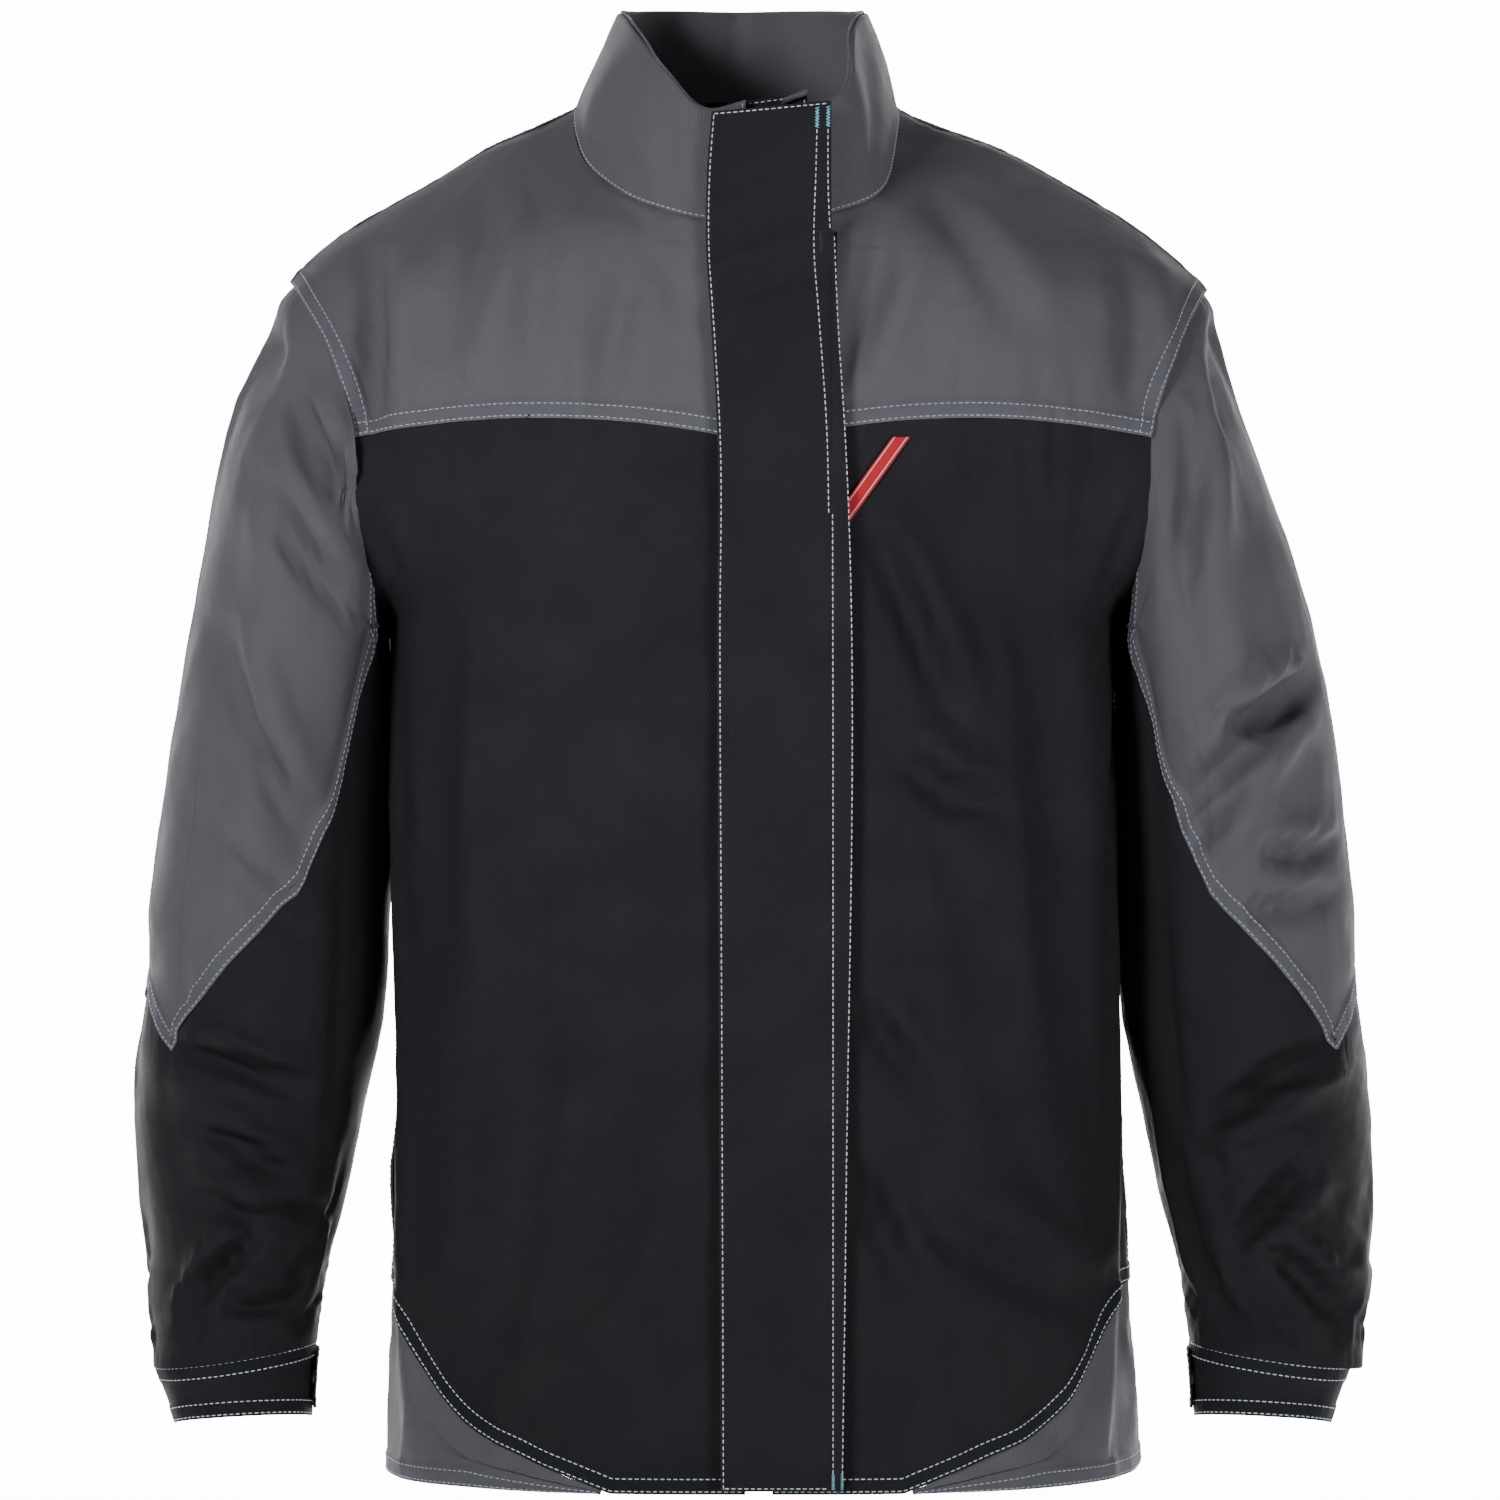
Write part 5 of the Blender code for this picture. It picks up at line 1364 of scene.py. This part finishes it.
def make_sleeves(shells):
    seam = seam_shares()

    def colour_seam(degrees):
        return line_at(seam, degrees)

    for side, _, name in SIDES:
        shell = shells[f"sleeve_{name}"]
        inside = sleeve_middle(side)
        top = Cut(shell.at, (-TOP_PANEL_EDGE, TOP_PANEL_EDGE), level(0.0), colour_seam, inside,
                  "tucked", "felled", "felled", "felled", seed=50 + side).emboss(ripple=0.35 * MM)
        piece = cloth_piece(f"sleeve_top_{name}_cloth", [top], CLOTH, LOOKS["grey_twill"])
        follow_sleeve(piece, side, name)
        finish_sheet([top], [f"sleeve_top_panel_{name}"])
        lower = Cut(shell.at, (-180, 180), colour_seam, level(1.0), inside,
                    "tucked", "tucked", "plain", "plain", seed=60 + side).emboss(ripple=0.35 * MM)
        gusset = Cut(shell.at, (TOP_PANEL_EDGE, 360 - TOP_PANEL_EDGE), level(0.0),
                     lambda c: colour_seam((c + 180) % 360 - 180), inside,
                     "tucked", "plain", "tucked", "tucked", seed=70 + side).emboss()
        piece = cloth_piece(f"sleeve_under_{name}_cloth", [lower, gusset], CLOTH, LOOKS["black_twill"])
        follow_sleeve(piece, side, name)
        finish_sheet([lower, gusset], [f"sleeve_under_panel_{name}"])
        follow_sleeve(stitches(f"sleeve_{name}_stitches", top.lines, BLUE_THREAD), side, name)


def cuff_surface(side, lift=None):
    """The cuff's outer face over degrees and height share, with an optional lift by degrees."""
    def surface(degrees, share):
        angle = np.radians(degrees)
        across = 0.5 + np.cos(angle) / 2
        rows = []
        for outer, inner, middle_y, half_depth in (CUFF_TOP, CUFF_FOOT):
            rows.append(np.stack([mix(inner[0], outer[0], across), middle_y - half_depth * np.sin(angle),
                                  mix(inner[1], outer[1], across)], axis=-1))
        rows[1][..., 2] += CUFF_FRONT_RISE * np.maximum(np.sin(angle), 0.0)
        point = mix(rows[0], rows[1], share[..., None])
        if lift is not None:
            away = np.stack([np.cos(angle) * 0.044, -np.sin(angle) * 0.043, 0 * angle], axis=-1)
            point = point + unit(away) * lift(degrees)[..., None]
        return point * (side, 1, 1)
    return surface


def make_cuffs():
    for side, _, name in SIDES:
        inside = np.array([CUFF_MIDDLE[0] * side, CUFF_MIDDLE[1], -0.708])
        cut = Cut(cuff_surface(side), CUFF_SPAN, level(0.0), level(1.0), inside,
                  "felled", "felled", "single", "single", seed=80 + side).emboss(ripple=0.25 * MM)
        cuff = cloth_piece(f"cuff_{name}_cloth", [cut], CUFF_CLOTH, LOOKS["black_twill"])
        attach(cuff, f"sleeve_{name}")
        finish_sheet([cut], [f"cuff_{name}"])
        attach(stitches(f"cuff_{name}_stitches", cut.lines, PALE_THREAD), f"sleeve_{name}")

        def lift(degrees):
            share = (degrees - TAB_SPAN[0]) / (TAB_SPAN[1] - TAB_SPAN[0])
            return mix(TAB_LIFT[0], TAB_LIFT[1], smooth(share))

        cut = Cut(cuff_surface(side, lift), TAB_SPAN, level(TAB_EDGE[0]), level(TAB_EDGE[1]), inside,
                  "single", "single", "single", "plain", seed=85 + side).emboss()
        tab = cloth_piece(f"cuff_tab_{name}_cloth", [cut], CUFF_TAB_CLOTH, LOOKS["black_twill"])
        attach(tab, f"cuff_tab_{name}")
        finish_sheet([cut], [f"cuff_tab_{name}"])
        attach(stitches(f"cuff_tab_{name}_stitches", cut.lines, PALE_THREAD), f"cuff_tab_{name}")


# ---------------------------------------------------------------- collar, loop and facings

def collar_shell(inset):
    """Columns from -1, the right front end, over 0, the centre back, to 1, the left front end."""
    tops = {1: Path(COLLAR_TOP_LEFT), -1: Path(COLLAR_TOP_RIGHT)}
    points = np.zeros((len(COLLAR_ROWS), len(COLLAR_COLUMNS), 3))
    middle = Vector((0.0, -0.08, 0.0))
    for j, a in enumerate(COLLAR_COLUMNS):
        side, edge = (1, LEFT_EDGE) if a > 0 else (-1, RIGHT_EDGE)
        top_line = tops[side]
        start = edge / NECK_LENGTH
        f = 1.0 - abs(a)
        foot = NECK_LINE.at(mix(start, 1.0, f))
        top = top_line.at(mix(edge / top_line.lengths[-1], 1.0, f))
        outward = foot - middle
        outward.z = 0.0
        outward.normalize()
        for i, share in enumerate(COLLAR_ROWS):
            swell = 4.0 * share * (1.0 - share) * COLLAR_SWELL * float(smooth(6.0 * f - 0.5))
            point = mix(foot, top, share) + outward * (swell - inset)
            points[i, j] = (point.x * side, point.y, point.z)
    shell = Shell(COLLAR_COLUMNS, COLLAR_ROWS, points)
    press(shell, COLLAR_FOLDS, COLLAR_MIDDLE, -1)
    lean_neck(shell.points)
    return shell


def make_collar():
    outer = Cut(collar_shell(0.0).at, (-1, 1), level(0.0), level(1.0), COLLAR_MIDDLE,
                "single", "rolled", "single", "single", seed=90).emboss(ripple=0.25 * MM)
    body_sheet("collar_outer_cloth", [outer], "grey_twill", ["collar_outer"])
    lining = Cut(collar_shell(COLLAR_DEPTH).at, (-1, 1), level(0.0), level(1.0), COLLAR_MIDDLE,
                 "single", "rolled", "plain", "plain", seed=91, inward=True).emboss(ripple=0.5 * MM)
    body_sheet("collar_lining_cloth", [lining], "collar_lining_twill",
               ["collar_lining"], thickness=LINING)


def make_hanger_loop():
    """A ribbon bowed forward from its two sewn ends inside the back neck."""
    def surface(c, height):
        angle = c * math.pi / 2
        bow = 0.6 * MM + LOOP_BOW * (1.0 - np.cos(angle)) ** 1.5
        y = bow - 0.4 * MM * np.cos(height / LOOP_HEIGHT * 3)
        return np.stack([LOOP_HALF * np.sin(angle), y, height], axis=-1)

    cut = Cut(surface, (-1, 1), level(-LOOP_HEIGHT / 2), level(LOOP_HEIGHT / 2), (0.0, 0.2, 0.0),
              "plain", "plain", "single", "single", seed=95)
    piece = cloth_piece("hanger_loop_ribbon", [cut.emboss()], LOOP_CLOTH, LOOKS["black_twill"])
    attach(piece, "jacket_body")
    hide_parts("hanger_loop")
    body_lines["pale"].extend(cut.lines)


def make_facings(shells):
    for side, _, name in SIDES:
        behind = under(shells[f"front_{name}"], even(FACING_INSET), TORSO_MIDDLE)
        cut = Cut(behind, (0.0, 0.24), level(0.02), level(2.38), TORSO_MIDDLE,
                  "plain", "plain", "plain", "single", seed=96, inward=True).emboss(ripple=0.4 * MM)
        body_sheet(f"front_facing_{name}_cloth", [cut], "black_twill",
                   [f"front_facing_{name}"], thickness=LINING)


# ---------------------------------------------------------------- pockets

def make_pockets(shells):
    """Each bag is a flat pouch behind the front panel, open at the side seam."""
    for side, _, name in SIDES:
        front = shells[f"front_{name}"]

        def pouch(c, depth, front=front):
            turn = math.pi * c
            low, high, thick = (line_at([(row[0], row[k]) for row in BAG_SHAPE], depth)
                                for k in (1, 2, 3))
            flat = np.sign(np.sin(turn)) * np.abs(np.sin(turn)) ** 0.4
            below = BAG_INSET + BAG_DEPTH * thick * (0.5 - 0.5 * flat)
            place = mix(low, high, 0.5 - 0.5 * np.cos(turn))
            return under(front, lambda a, b: below, TORSO_MIDDLE)(mix(*BAG_REACH, depth), place)

        middle = tuple(pouch(np.array([[0.5, 1.5]]), np.array([[0.5, 0.5]])).mean(axis=(0, 1)))
        cut = Cut(pouch, (0.0, 2.0), level(0.0), level(1.0), middle,
                  "plain", "plain", "plain", "plain", seed=97).emboss(ripple=0.25 * MM)
        body_sheet(f"pocket_bag_{name}_cloth", [cut], "pocket_cotton",
                   [f"pocket_bag_{name}"], thickness=BAG_CLOTH)

        def bulge(a, b):
            opening = np.sin(math.pi * np.clip((b - MOUTH_T[0]) / (MOUTH_T[1] - MOUTH_T[0]), 0, 1))
            return 2.2 * MM - FACING_BULGE[name] * opening * smooth((a - 0.90) / 0.08)

        behind = under(shells[f"back_{name}"], bulge, TORSO_MIDDLE)
        cut = Cut(behind, (0.86, 0.995), level(0.24), level(0.525), TORSO_MIDDLE,
                  "plain", "plain", "plain", "single", seed=98).emboss(ripple=0.3 * MM)
        body_sheet(f"pocket_facing_{name}_cloth", [cut], "grey_twill",
                   [f"pocket_facing_{name}"], thickness=LINING)


# ---------------------------------------------------------------- storm flap and front edge

def plane_points(x, up, out):
    """Points in the leaning front plane, from arrays."""
    base = np.array(FRONT_HEM) + up[..., None] * np.array(UP) + out[..., None] * np.array(OUT)
    return base + x[..., None] * np.array((1.0, 0.0, 0.0))


def flap_wave(x, up):
    """The flap's soft waves: slanting drags below the neck and slow ones further down."""
    neck = near(up, 0.650, 0.068) * np.sin(2 * math.pi * (up * 0.94 - x * 0.35) / 0.029)
    slow = np.sin(2 * math.pi * up / 0.170 + 1.1) * near(up, 0.36, 0.36)
    edge = near(x, -0.018, 0.022) * waves(up, (0.051, 0.083, 0.124), 5)
    return 2.4 * MM * neck + 0.6 * MM * slow + 0.9 * MM * edge


def flap_surface(c, up):
    x = mix(curve_at(FLAP_LEFT_X, up), FLAP_RIGHT_X, c)
    return plane_points(x, up, FLAP_OUT + np.maximum(flap_wave(x, up) * (1 - c**3), -0.5 * MM))


def drawn_line(cut, points):
    """A stitch line over a piece in the front plane, through (up, x) points."""
    up = np.linspace(points[0][0], points[-1][0], 160)
    line = plane_points(curve_at(points, up), up, 0.0 * up)
    flat = cut.points.reshape(-1, 3)
    off = flat - line[:, None]
    height = off @ np.array(OUT)
    nearest = np.argmin(np.linalg.norm(off - height[..., None] * np.array(OUT), axis=-1), axis=1)
    line += height[np.arange(len(up)), nearest][:, None] * np.array(OUT)
    return line, np.broadcast_to(np.array(OUT), line.shape)


def make_flap():
    cut = Cut(flap_surface, (0.0, 1.0), level(FLAP_FOOT), lambda c: mix(*FLAP_TOP, c),
              (0.01, 0.0, -0.4), "single", "single", "single", "plain", seed=100).emboss(ripple=0.25 * MM)
    cut.lines.extend(drawn_line(cut, line) for line in FLAP_LINES)
    flap = cloth_piece("storm_flap_cloth", [cut], FLAP_CLOTH, LOOKS["black_twill"])
    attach(flap, "storm_flap")
    finish_sheet([cut], ["storm_flap"])
    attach(stitches("storm_flap_stitches", cut.lines, PALE_THREAD), "storm_flap")
    tacks = [tack(line, 2.4 * MM, 11 * MM, from_end=1.5 * MM) for line in cut.lines[-2:]]
    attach(threads("storm_flap_tacks", tacks, TEAL_THREAD), "storm_flap")


def make_band():
    def surface(c, up):
        x = mix(BAND_LEFT_X, curve_at(BAND_RIGHT_X, up), c)
        return plane_points(x, up, FLAP_OUT - 0.5 * MM * c**4)

    cut = Cut(surface, (0.0, 1.0), level(FLAP_FOOT), level(BAND_LENGTH), (0.04, 0.0, -0.4),
              "plain", "plain", "single", "single", seed=101)
    cut.emboss(masks={"left": lambda t: (t < BAND_LINE_END) * 1.0})
    piece = cloth_piece("flap_seam_band_cloth", [cut], BAND_CLOTH, LOOKS["black_twill"])
    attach(piece, "jacket_body")
    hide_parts("flap_seam_band")
    body_lines["pale"].extend(cut.lines)
    body_tacks.extend(tack(line, 2.2 * MM, 8 * MM, from_end=1 * MM, back=False) for line in cut.lines)


def make_wind_guard():
    def surface(c, up):
        x = mix(*WIND_GUARD_X, c)
        return plane_points(x, up, WIND_GUARD_OUT + 0.7 * MM * np.sin(up * 37.0 + c * 1.3))

    cut = Cut(surface, (0.0, 1.0), level(0.006), lambda c: mix(*WIND_GUARD_TOP, c), (0.0, 0.0, -0.4),
              "single", "single", "single", "single", seed=102).emboss(ripple=0.4 * MM)
    body_sheet("wind_guard_cloth", [cut], "black_twill", ["wind_guard"],
               thickness=GUARD_CLOTH)


def make_neck_tab():
    """The zip tape's folded end, sewn down beside the left collar's top."""
    def surface(c, t):
        up = NECK_TAB_UP + NECK_TAB_RISE * c + (t - 0.5) * NECK_TAB_WIDTH
        return plane_points(mix(*NECK_TAB_X, c), up, NECK_TAB_OUT + NECK_TAB_BOW * np.sin(math.pi * t))

    cut = Cut(surface, (0.0, 1.0), level(0.0), level(1.0), (0.02, 0.0, -0.4),
              "plain", "plain", "plain", "plain", seed=103).emboss(ripple=0.1 * MM)
    piece = cloth_piece("neck_tab_cloth", [cut], NECK_TAB_CLOTH, LOOKS["grey_twill"])
    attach(piece, "jacket_body")


def make_label(shells):
    """The slanting red ribbon below the left yoke; its foot goes under the flap's seam band."""
    front = shells["front_left"]

    def surface(c, f):
        left = np.maximum(mix(LABEL_FOOT[0], LABEL_TOP[0], f), LABEL_SHOWN)
        x = mix(left, mix(LABEL_FOOT[1], LABEL_TOP[1], f), c)
        z = HEM_Z + mix(*LABEL_UP, f) * UP.z
        s, t = find(front, x, z)
        return under(front, even(-1.3 * MM), TORSO_MIDDLE)(s, t)

    cut = Cut(surface, (0.0, 1.0), level(0.0), level(1.0), TORSO_MIDDLE,
              "plain", "plain", "plain", "plain", seed=104).emboss(ripple=0.12 * MM)
    middle = (mix(LABEL_FOOT[0], LABEL_TOP[0], cut.t) + mix(LABEL_FOOT[1], LABEL_TOP[1], cut.t)) / 2
    cut.u = cut.points[..., 0] - middle
    piece = cloth_piece("chest_label_ribbon", [cut], LABEL_CLOTH, LOOKS["red_label"])
    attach(piece, "jacket_body")
    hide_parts("chest_label")


# ---------------------------------------------------------------- zip and snaps

def oval(half_wide, half_tall, squareness=4.0, corners=32):
    """A rounded outline round the origin; squareness 2 gives an ellipse."""
    angle = np.arange(corners) * 2 * math.pi / corners
    power = 2.0 / squareness
    return np.stack([half_wide * np.sign(np.cos(angle)) * np.abs(np.cos(angle)) ** power,
                     half_tall * np.sign(np.sin(angle)) * np.abs(np.sin(angle)) ** power], axis=-1)


def stack(outline, levels):
    """A closed solid of scaled copies of one outline at (scale, height) levels: points, faces."""
    count = len(outline)
    points = [np.column_stack([outline * scale, np.full(count, height)]) for scale, height in levels]
    corner = np.arange(count * len(levels)).reshape(len(levels), count)
    faces = np.stack([corner[:-1], np.roll(corner, -1, axis=1)[:-1], np.roll(corner, -1, axis=1)[1:],
                      corner[1:]], axis=-1).reshape(-1, 4).tolist()
    faces += [corner[0, ::-1].tolist(), corner[-1].tolist()]
    return np.concatenate(points), faces


def slab(half_wide, half_tall, low, high, round_off, squareness=4.0):
    """A stack with rounded rims between two heights."""
    small = 1.0 - round_off / min(half_wide, half_tall)
    return stack(oval(half_wide, half_tall, squareness),
                 [(small, low), (1.0, low + round_off), (1.0, high - round_off), (small, high)])


def hardware(name, solids, place, material, body, nodes):
    """One object of several solids given as (points, faces), put in place by a function."""
    points, faces, first = [], [], 0
    for solid_points, solid_faces in solids:
        points.append(place(solid_points))
        faces += [[k + first for k in face] for face in solid_faces]
        first += len(solid_points)
    mesh = bpy.data.meshes.new(name)
    mesh.from_pydata(np.concatenate(points).tolist(), [], faces)
    piece = shown(name, mesh, LOOKS[material])
    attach(piece, body)
    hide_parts(*nodes)


def in_front_plane(x, up):
    """Puts (across, up, out) points into the front plane around a spot."""
    return lambda p: plane_points(p[:, 0] + x, p[:, 1] + up, p[:, 2])


def moved(solid, across, up):
    return solid[0] + (across, up, 0.0), solid[1]


def make_zip():
    low, high = ZIP_UP
    for side, _, name in SIDES:
        def surface(c, up, side=side):
            return plane_points(ZIP_X + side * mix(*TAPE_SIDE, c), up, np.full(np.shape(c), TAPE_OUT))

        cut = Cut(surface, (0.0, 1.0), level(0.003), level(high), (0.0, 0.0, -0.4),
                  "plain", "plain", "plain", "plain", seed=105 + side).emboss(ripple=0.15 * MM)
        body_sheet(f"zip_tape_{name}_cloth", [cut], "zip_tape_black",
                   [f"zip_tape_{name}"], thickness=TAPE_CLOTH)
        tooth = slab(1.05 * MM, 0.55 * MM, -3.3 * MM, -0.9 * MM, 0.15 * MM)
        shift = 0.0 if side > 0 else TOOTH_PITCH / 2
        count = int((high - low) / TOOTH_PITCH) - 1
        teeth = [moved(tooth, side * 1.15 * MM, k * TOOTH_PITCH + shift + 1 * MM) for k in range(count)]
        hardware(f"zip_teeth_{name}_row", teeth, in_front_plane(ZIP_X, low), "zip_brass", "jacket_body",
                 [f"zip_teeth_{name}"])
    box = [slab(2.5 * MM, 4.2 * MM, -3.5 * MM, -0.6 * MM, 0.4 * MM, 5.0),
           moved(slab(1.5 * MM, 2.6 * MM, -0.8 * MM, -0.35 * MM, 0.2 * MM, 3.0), 0.0, 0.3 * MM)]
    hardware("zip_bottom_box_cast", box, in_front_plane(ZIP_X, 0.009), "zip_brass", "jacket_body",
             ["zip_bottom_box"])
    slider = [slab(4.4 * MM, 5.4 * MM, -0.4 * MM, 0.8 * MM, 0.35 * MM, 3.0),
              slab(4.4 * MM, 5.4 * MM, -4.9 * MM, -3.7 * MM, 0.35 * MM, 3.0),
              moved(slab(0.5 * MM, 1.4 * MM, -4.2 * MM, 0.2 * MM, 0.1 * MM), 0.0, 3.8 * MM),
              moved(slab(1.1 * MM, 1.9 * MM, 0.5 * MM, 1.9 * MM, 0.35 * MM, 2.6), 0.0, 1.6 * MM)]
    hardware("zip_slider_cast", slider, in_front_plane(ZIP_X, SLIDER_UP), "zip_brass", "zip_slider",
             ["zip_slider"])
    tab = stack(oval(2.9 * MM, 7.6 * MM, 3.2), [
        (0.93, 0.95 * MM), (1.0, 1.1 * MM), (1.0, 1.7 * MM), (0.94, 1.9 * MM), (0.74, 1.9 * MM),
        (0.66, 1.6 * MM), (0.30, 1.6 * MM)])
    hardware("zip_pull_cast", [tab], in_front_plane(ZIP_X, SLIDER_UP - 8.6 * MM), "zip_brass", "zip_pull",
             ["zip_pull"])


def turned(profile, radius, low, high):
    """A round snap part with its foot at low and its face at high."""
    return stack(oval(radius, radius, 2.0), [(scale, mix(low, high, f)) for scale, f in profile])


def make_snaps():
    for number, up in enumerate(SNAP_UPS, 1):
        place = in_front_plane(SNAP_X, up)
        hardware(f"snap_stud_{number}_pressed", [turned(STUD, STUD_RADIUS, 0.3 * MM, 2.0 * MM)], place,
                 "snap_metal", "jacket_body", [f"snap_stud_{number}"])
        hardware(f"snap_socket_{number}_pressed", [turned(SOCKET, SOCKET_RADIUS, 3.5 * MM, 2.3 * MM)], place,
                 "snap_metal", "storm_flap", [f"snap_socket_{number}"])
    for side, _, name in SIDES:
        degrees, share = np.full((1, 1), float(CUFF_SNAP_ANGLE)), np.full((1, 1), 0.5)
        face = cuff_surface(side)
        spot = face(degrees, share)[0, 0]
        around = unit(face(degrees + 2, share)[0, 0] - face(degrees - 2, share)[0, 0])
        down = unit(face(degrees, share + 0.1)[0, 0] - spot)
        out = unit(np.cross(around, down))
        out *= np.sign(out @ (spot - np.array([CUFF_MIDDLE[0] * side, CUFF_MIDDLE[1], spot[2]])))

        def place(p, spot=spot, around=around, out=out):
            return spot + p[:, :1] * around + p[:, 1:2] * np.cross(out, around) + p[:, 2:] * out

        stud = turned(STUD, CUFF_SNAP_RADIUS, 0.1 * MM, 0.8 * MM)
        hardware(f"cuff_snap_stud_{name}_pressed", [stud], place, "snap_metal", f"sleeve_{name}",
                 [f"cuff_snap_stud_{name}"])
        socket = turned(SOCKET, CUFF_SNAP_RADIUS, 1.6 * MM, 0.9 * MM)
        hardware(f"cuff_snap_socket_{name}_pressed", [socket], place, "snap_metal",
                 f"cuff_tab_{name}", [f"cuff_snap_socket_{name}"])


# ---------------------------------------------------------------- stage, light and camera

def make_stage():
    """A pale floor that curves up into a backdrop, which glows round its middle: painted light, the paper
    itself shining.
    """
    bend_y = BACKDROP_Y - BACKDROP_RADIUS
    profile = [(FLOOR_FRONT_Y, FLOOR_Z), (bend_y, FLOOR_Z)]
    for k in range(1, BACKDROP_STEPS + 1):
        angle = math.pi / 2 * k / BACKDROP_STEPS
        profile.append((bend_y + BACKDROP_RADIUS * math.sin(angle),
                        FLOOR_Z + BACKDROP_RADIUS * (1 - math.cos(angle))))
    profile.append((BACKDROP_Y, BACKDROP_TOP))
    points = [(x, y, z) for y, z in profile for x in (-FLOOR_HALF, FLOOR_HALF)]
    mesh = bpy.data.meshes.new("floor")
    mesh.from_pydata(points, [], grid_faces(len(profile), 2).tolist())
    material, tree, shader = new_material("pale_paper_painted_glow", 0.9)
    place = wire(tree, "ShaderNodeTexCoord").outputs["Object"]
    pale = tint(tree, noise(tree, place, 3.0), (0.92, 0.92, 0.92), (0.95, 0.95, 0.95))
    tree.links.new(pale, shader.inputs["Base Color"])
    # Painted light: the backdrop glows round its middle, fading with distance, and this glow also lights the
    # jacket
    middle = (0.0, BACKDROP_Y, GLOW_MIDDLE_Z)
    off_middle = wire(tree, "ShaderNodeVectorMath", {0: place, 1: middle}, operation="DISTANCE")
    glow = wire(tree, "ShaderNodeMapRange", {
        "Value": off_middle.outputs["Value"], "From Min": GLOW_REACH[0], "From Max": GLOW_REACH[1],
        "To Min": BACKDROP_GLOW, "To Max": 0.0})
    tree.links.new(glow.outputs[0], shader.inputs["Emission Strength"])
    shader.inputs["Emission Color"].default_value = (1.0, 1.0, 1.0, 1.0)
    shown("floor", mesh, material)


def area_light(name, place, target, size, power):
    light = bpy.data.lights.new(name, "AREA")
    light.shape = "RECTANGLE"
    light.size = size
    light.size_y = size
    light.energy = power
    light.spread = LIGHT_SPREAD
    thing = bpy.data.objects.new(name, light)
    thing.location = place
    thing.rotation_euler = (Vector(target) - Vector(place)).to_track_quat("-Z", "Y").to_euler()
    bpy.context.scene.collection.objects.link(thing)


def make_lights():
    for light in LIGHTS:
        area_light(*light)
    world = bpy.data.worlds.new("studio")
    bpy.context.scene.world = world
    world.use_nodes = True
    world.node_tree.nodes["Background"].inputs["Color"].default_value = (1, 1, 1, 1)
    world.node_tree.nodes["Background"].inputs["Strength"].default_value = WORLD_LIGHT


def make_camera():
    camera = bpy.data.objects.new("camera", bpy.data.cameras.new("camera"))
    camera.data.lens = CAMERA_LENS
    camera.data.sensor_width = CAMERA_SENSOR
    camera.location = CAMERA_PLACE
    camera.rotation_euler = (math.pi / 2, 0.0, 0.0)
    bpy.context.scene.collection.objects.link(camera)
    bpy.context.scene.camera = camera


# ---------------------------------------------------------------- all surfaces

def press_all(shells, depth):
    body_folds = {"left": LEFT_BODY_FOLDS, "right": RIGHT_BODY_FOLDS}
    sleeve_folds = {"left": LEFT_SLEEVE_FOLDS, "right": RIGHT_SLEEVE_FOLDS}
    for side, _, name in SIDES:
        sleeve, inside = shells[f"sleeve_{name}"], sleeve_middle(side)
        press(shells[f"front_{name}"], body_folds[name], TORSO_MIDDLE, -1, depth)
        press(shells[f"back_{name}"], BACK_FOLDS, TORSO_MIDDLE, 1, depth)
        press(sleeve, sleeve_folds[name], inside, -1, depth * SLEEVE_PRESS)
        press(sleeve, SLEEVE_BACK_FOLDS, inside, 1, depth, side)


def relax(shells):
    """Runs the simulation on all shells, each with its own hold and growth."""
    parts = []
    for name, shell in shells.items():
        a, b = np.meshgrid(shell.a, shell.b)
        if name.startswith("sleeve"):
            parts.append((shell, sleeve_hold(a, b), SLEEVE_GROWTH))
        elif name.startswith("front"):
            hold = np.maximum(body_hold(a, b), near(a, 0.0, 0.34) ** 0.5)
            hold = np.maximum(hold, 0.7 * smooth((b - 2.1) / 0.2))
            parts.append((shell, hold, FRONT_GROWTH))
        else:
            parts.append((shell, body_hold(a, b), BACK_GROWTH))
    simulate(parts)


def make_shells():
    shells = {}
    for side, edge, name in SIDES:
        shells[f"front_{name}"] = front_shell(side, edge)
        shells[f"back_{name}"] = back_shell(side)
        shells[f"sleeve_{name}"] = sleeve_shell(side)
    press_all(shells, FIRST_PRESS)
    relax(shells)
    press_all(shells, SECOND_PRESS)
    for part in ("front", "back", "sleeve"):
        swell_shoulder(shells[f"{part}_right"].points)
    for side, _, name in SIDES:
        follow_outline(shells[f"sleeve_{name}"], SLEEVE_OUTLINES[name], side, from_inner_side)
        for part in ("front", "back"):
            follow_outline(shells[f"{part}_{name}"], SIDE_OUTLINES[name], side, from_middle)
            lean_neck(shells[f"{part}_{name}"].points)
    return shells


def main():
    make_camera()
    shells = make_shells()
    make_fronts(shells)
    make_back(shells)
    make_hem_sides(shells)
    make_sleeves(shells)
    make_cuffs()
    make_collar()
    make_hanger_loop()
    make_facings(shells)
    make_pockets(shells)
    make_wind_guard()
    make_neck_tab()
    make_zip()
    make_flap()
    make_band()
    make_label(shells)
    make_snaps()
    for thread, material in (("pale", PALE_THREAD), ("blue", BLUE_THREAD)):
        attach(stitches(f"body_{thread}_stitches", body_lines[thread], material), "jacket_body")
    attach(threads("body_tacks", body_tacks, TEAL_THREAD), "jacket_body")
    make_stage()
    make_lights()


main()
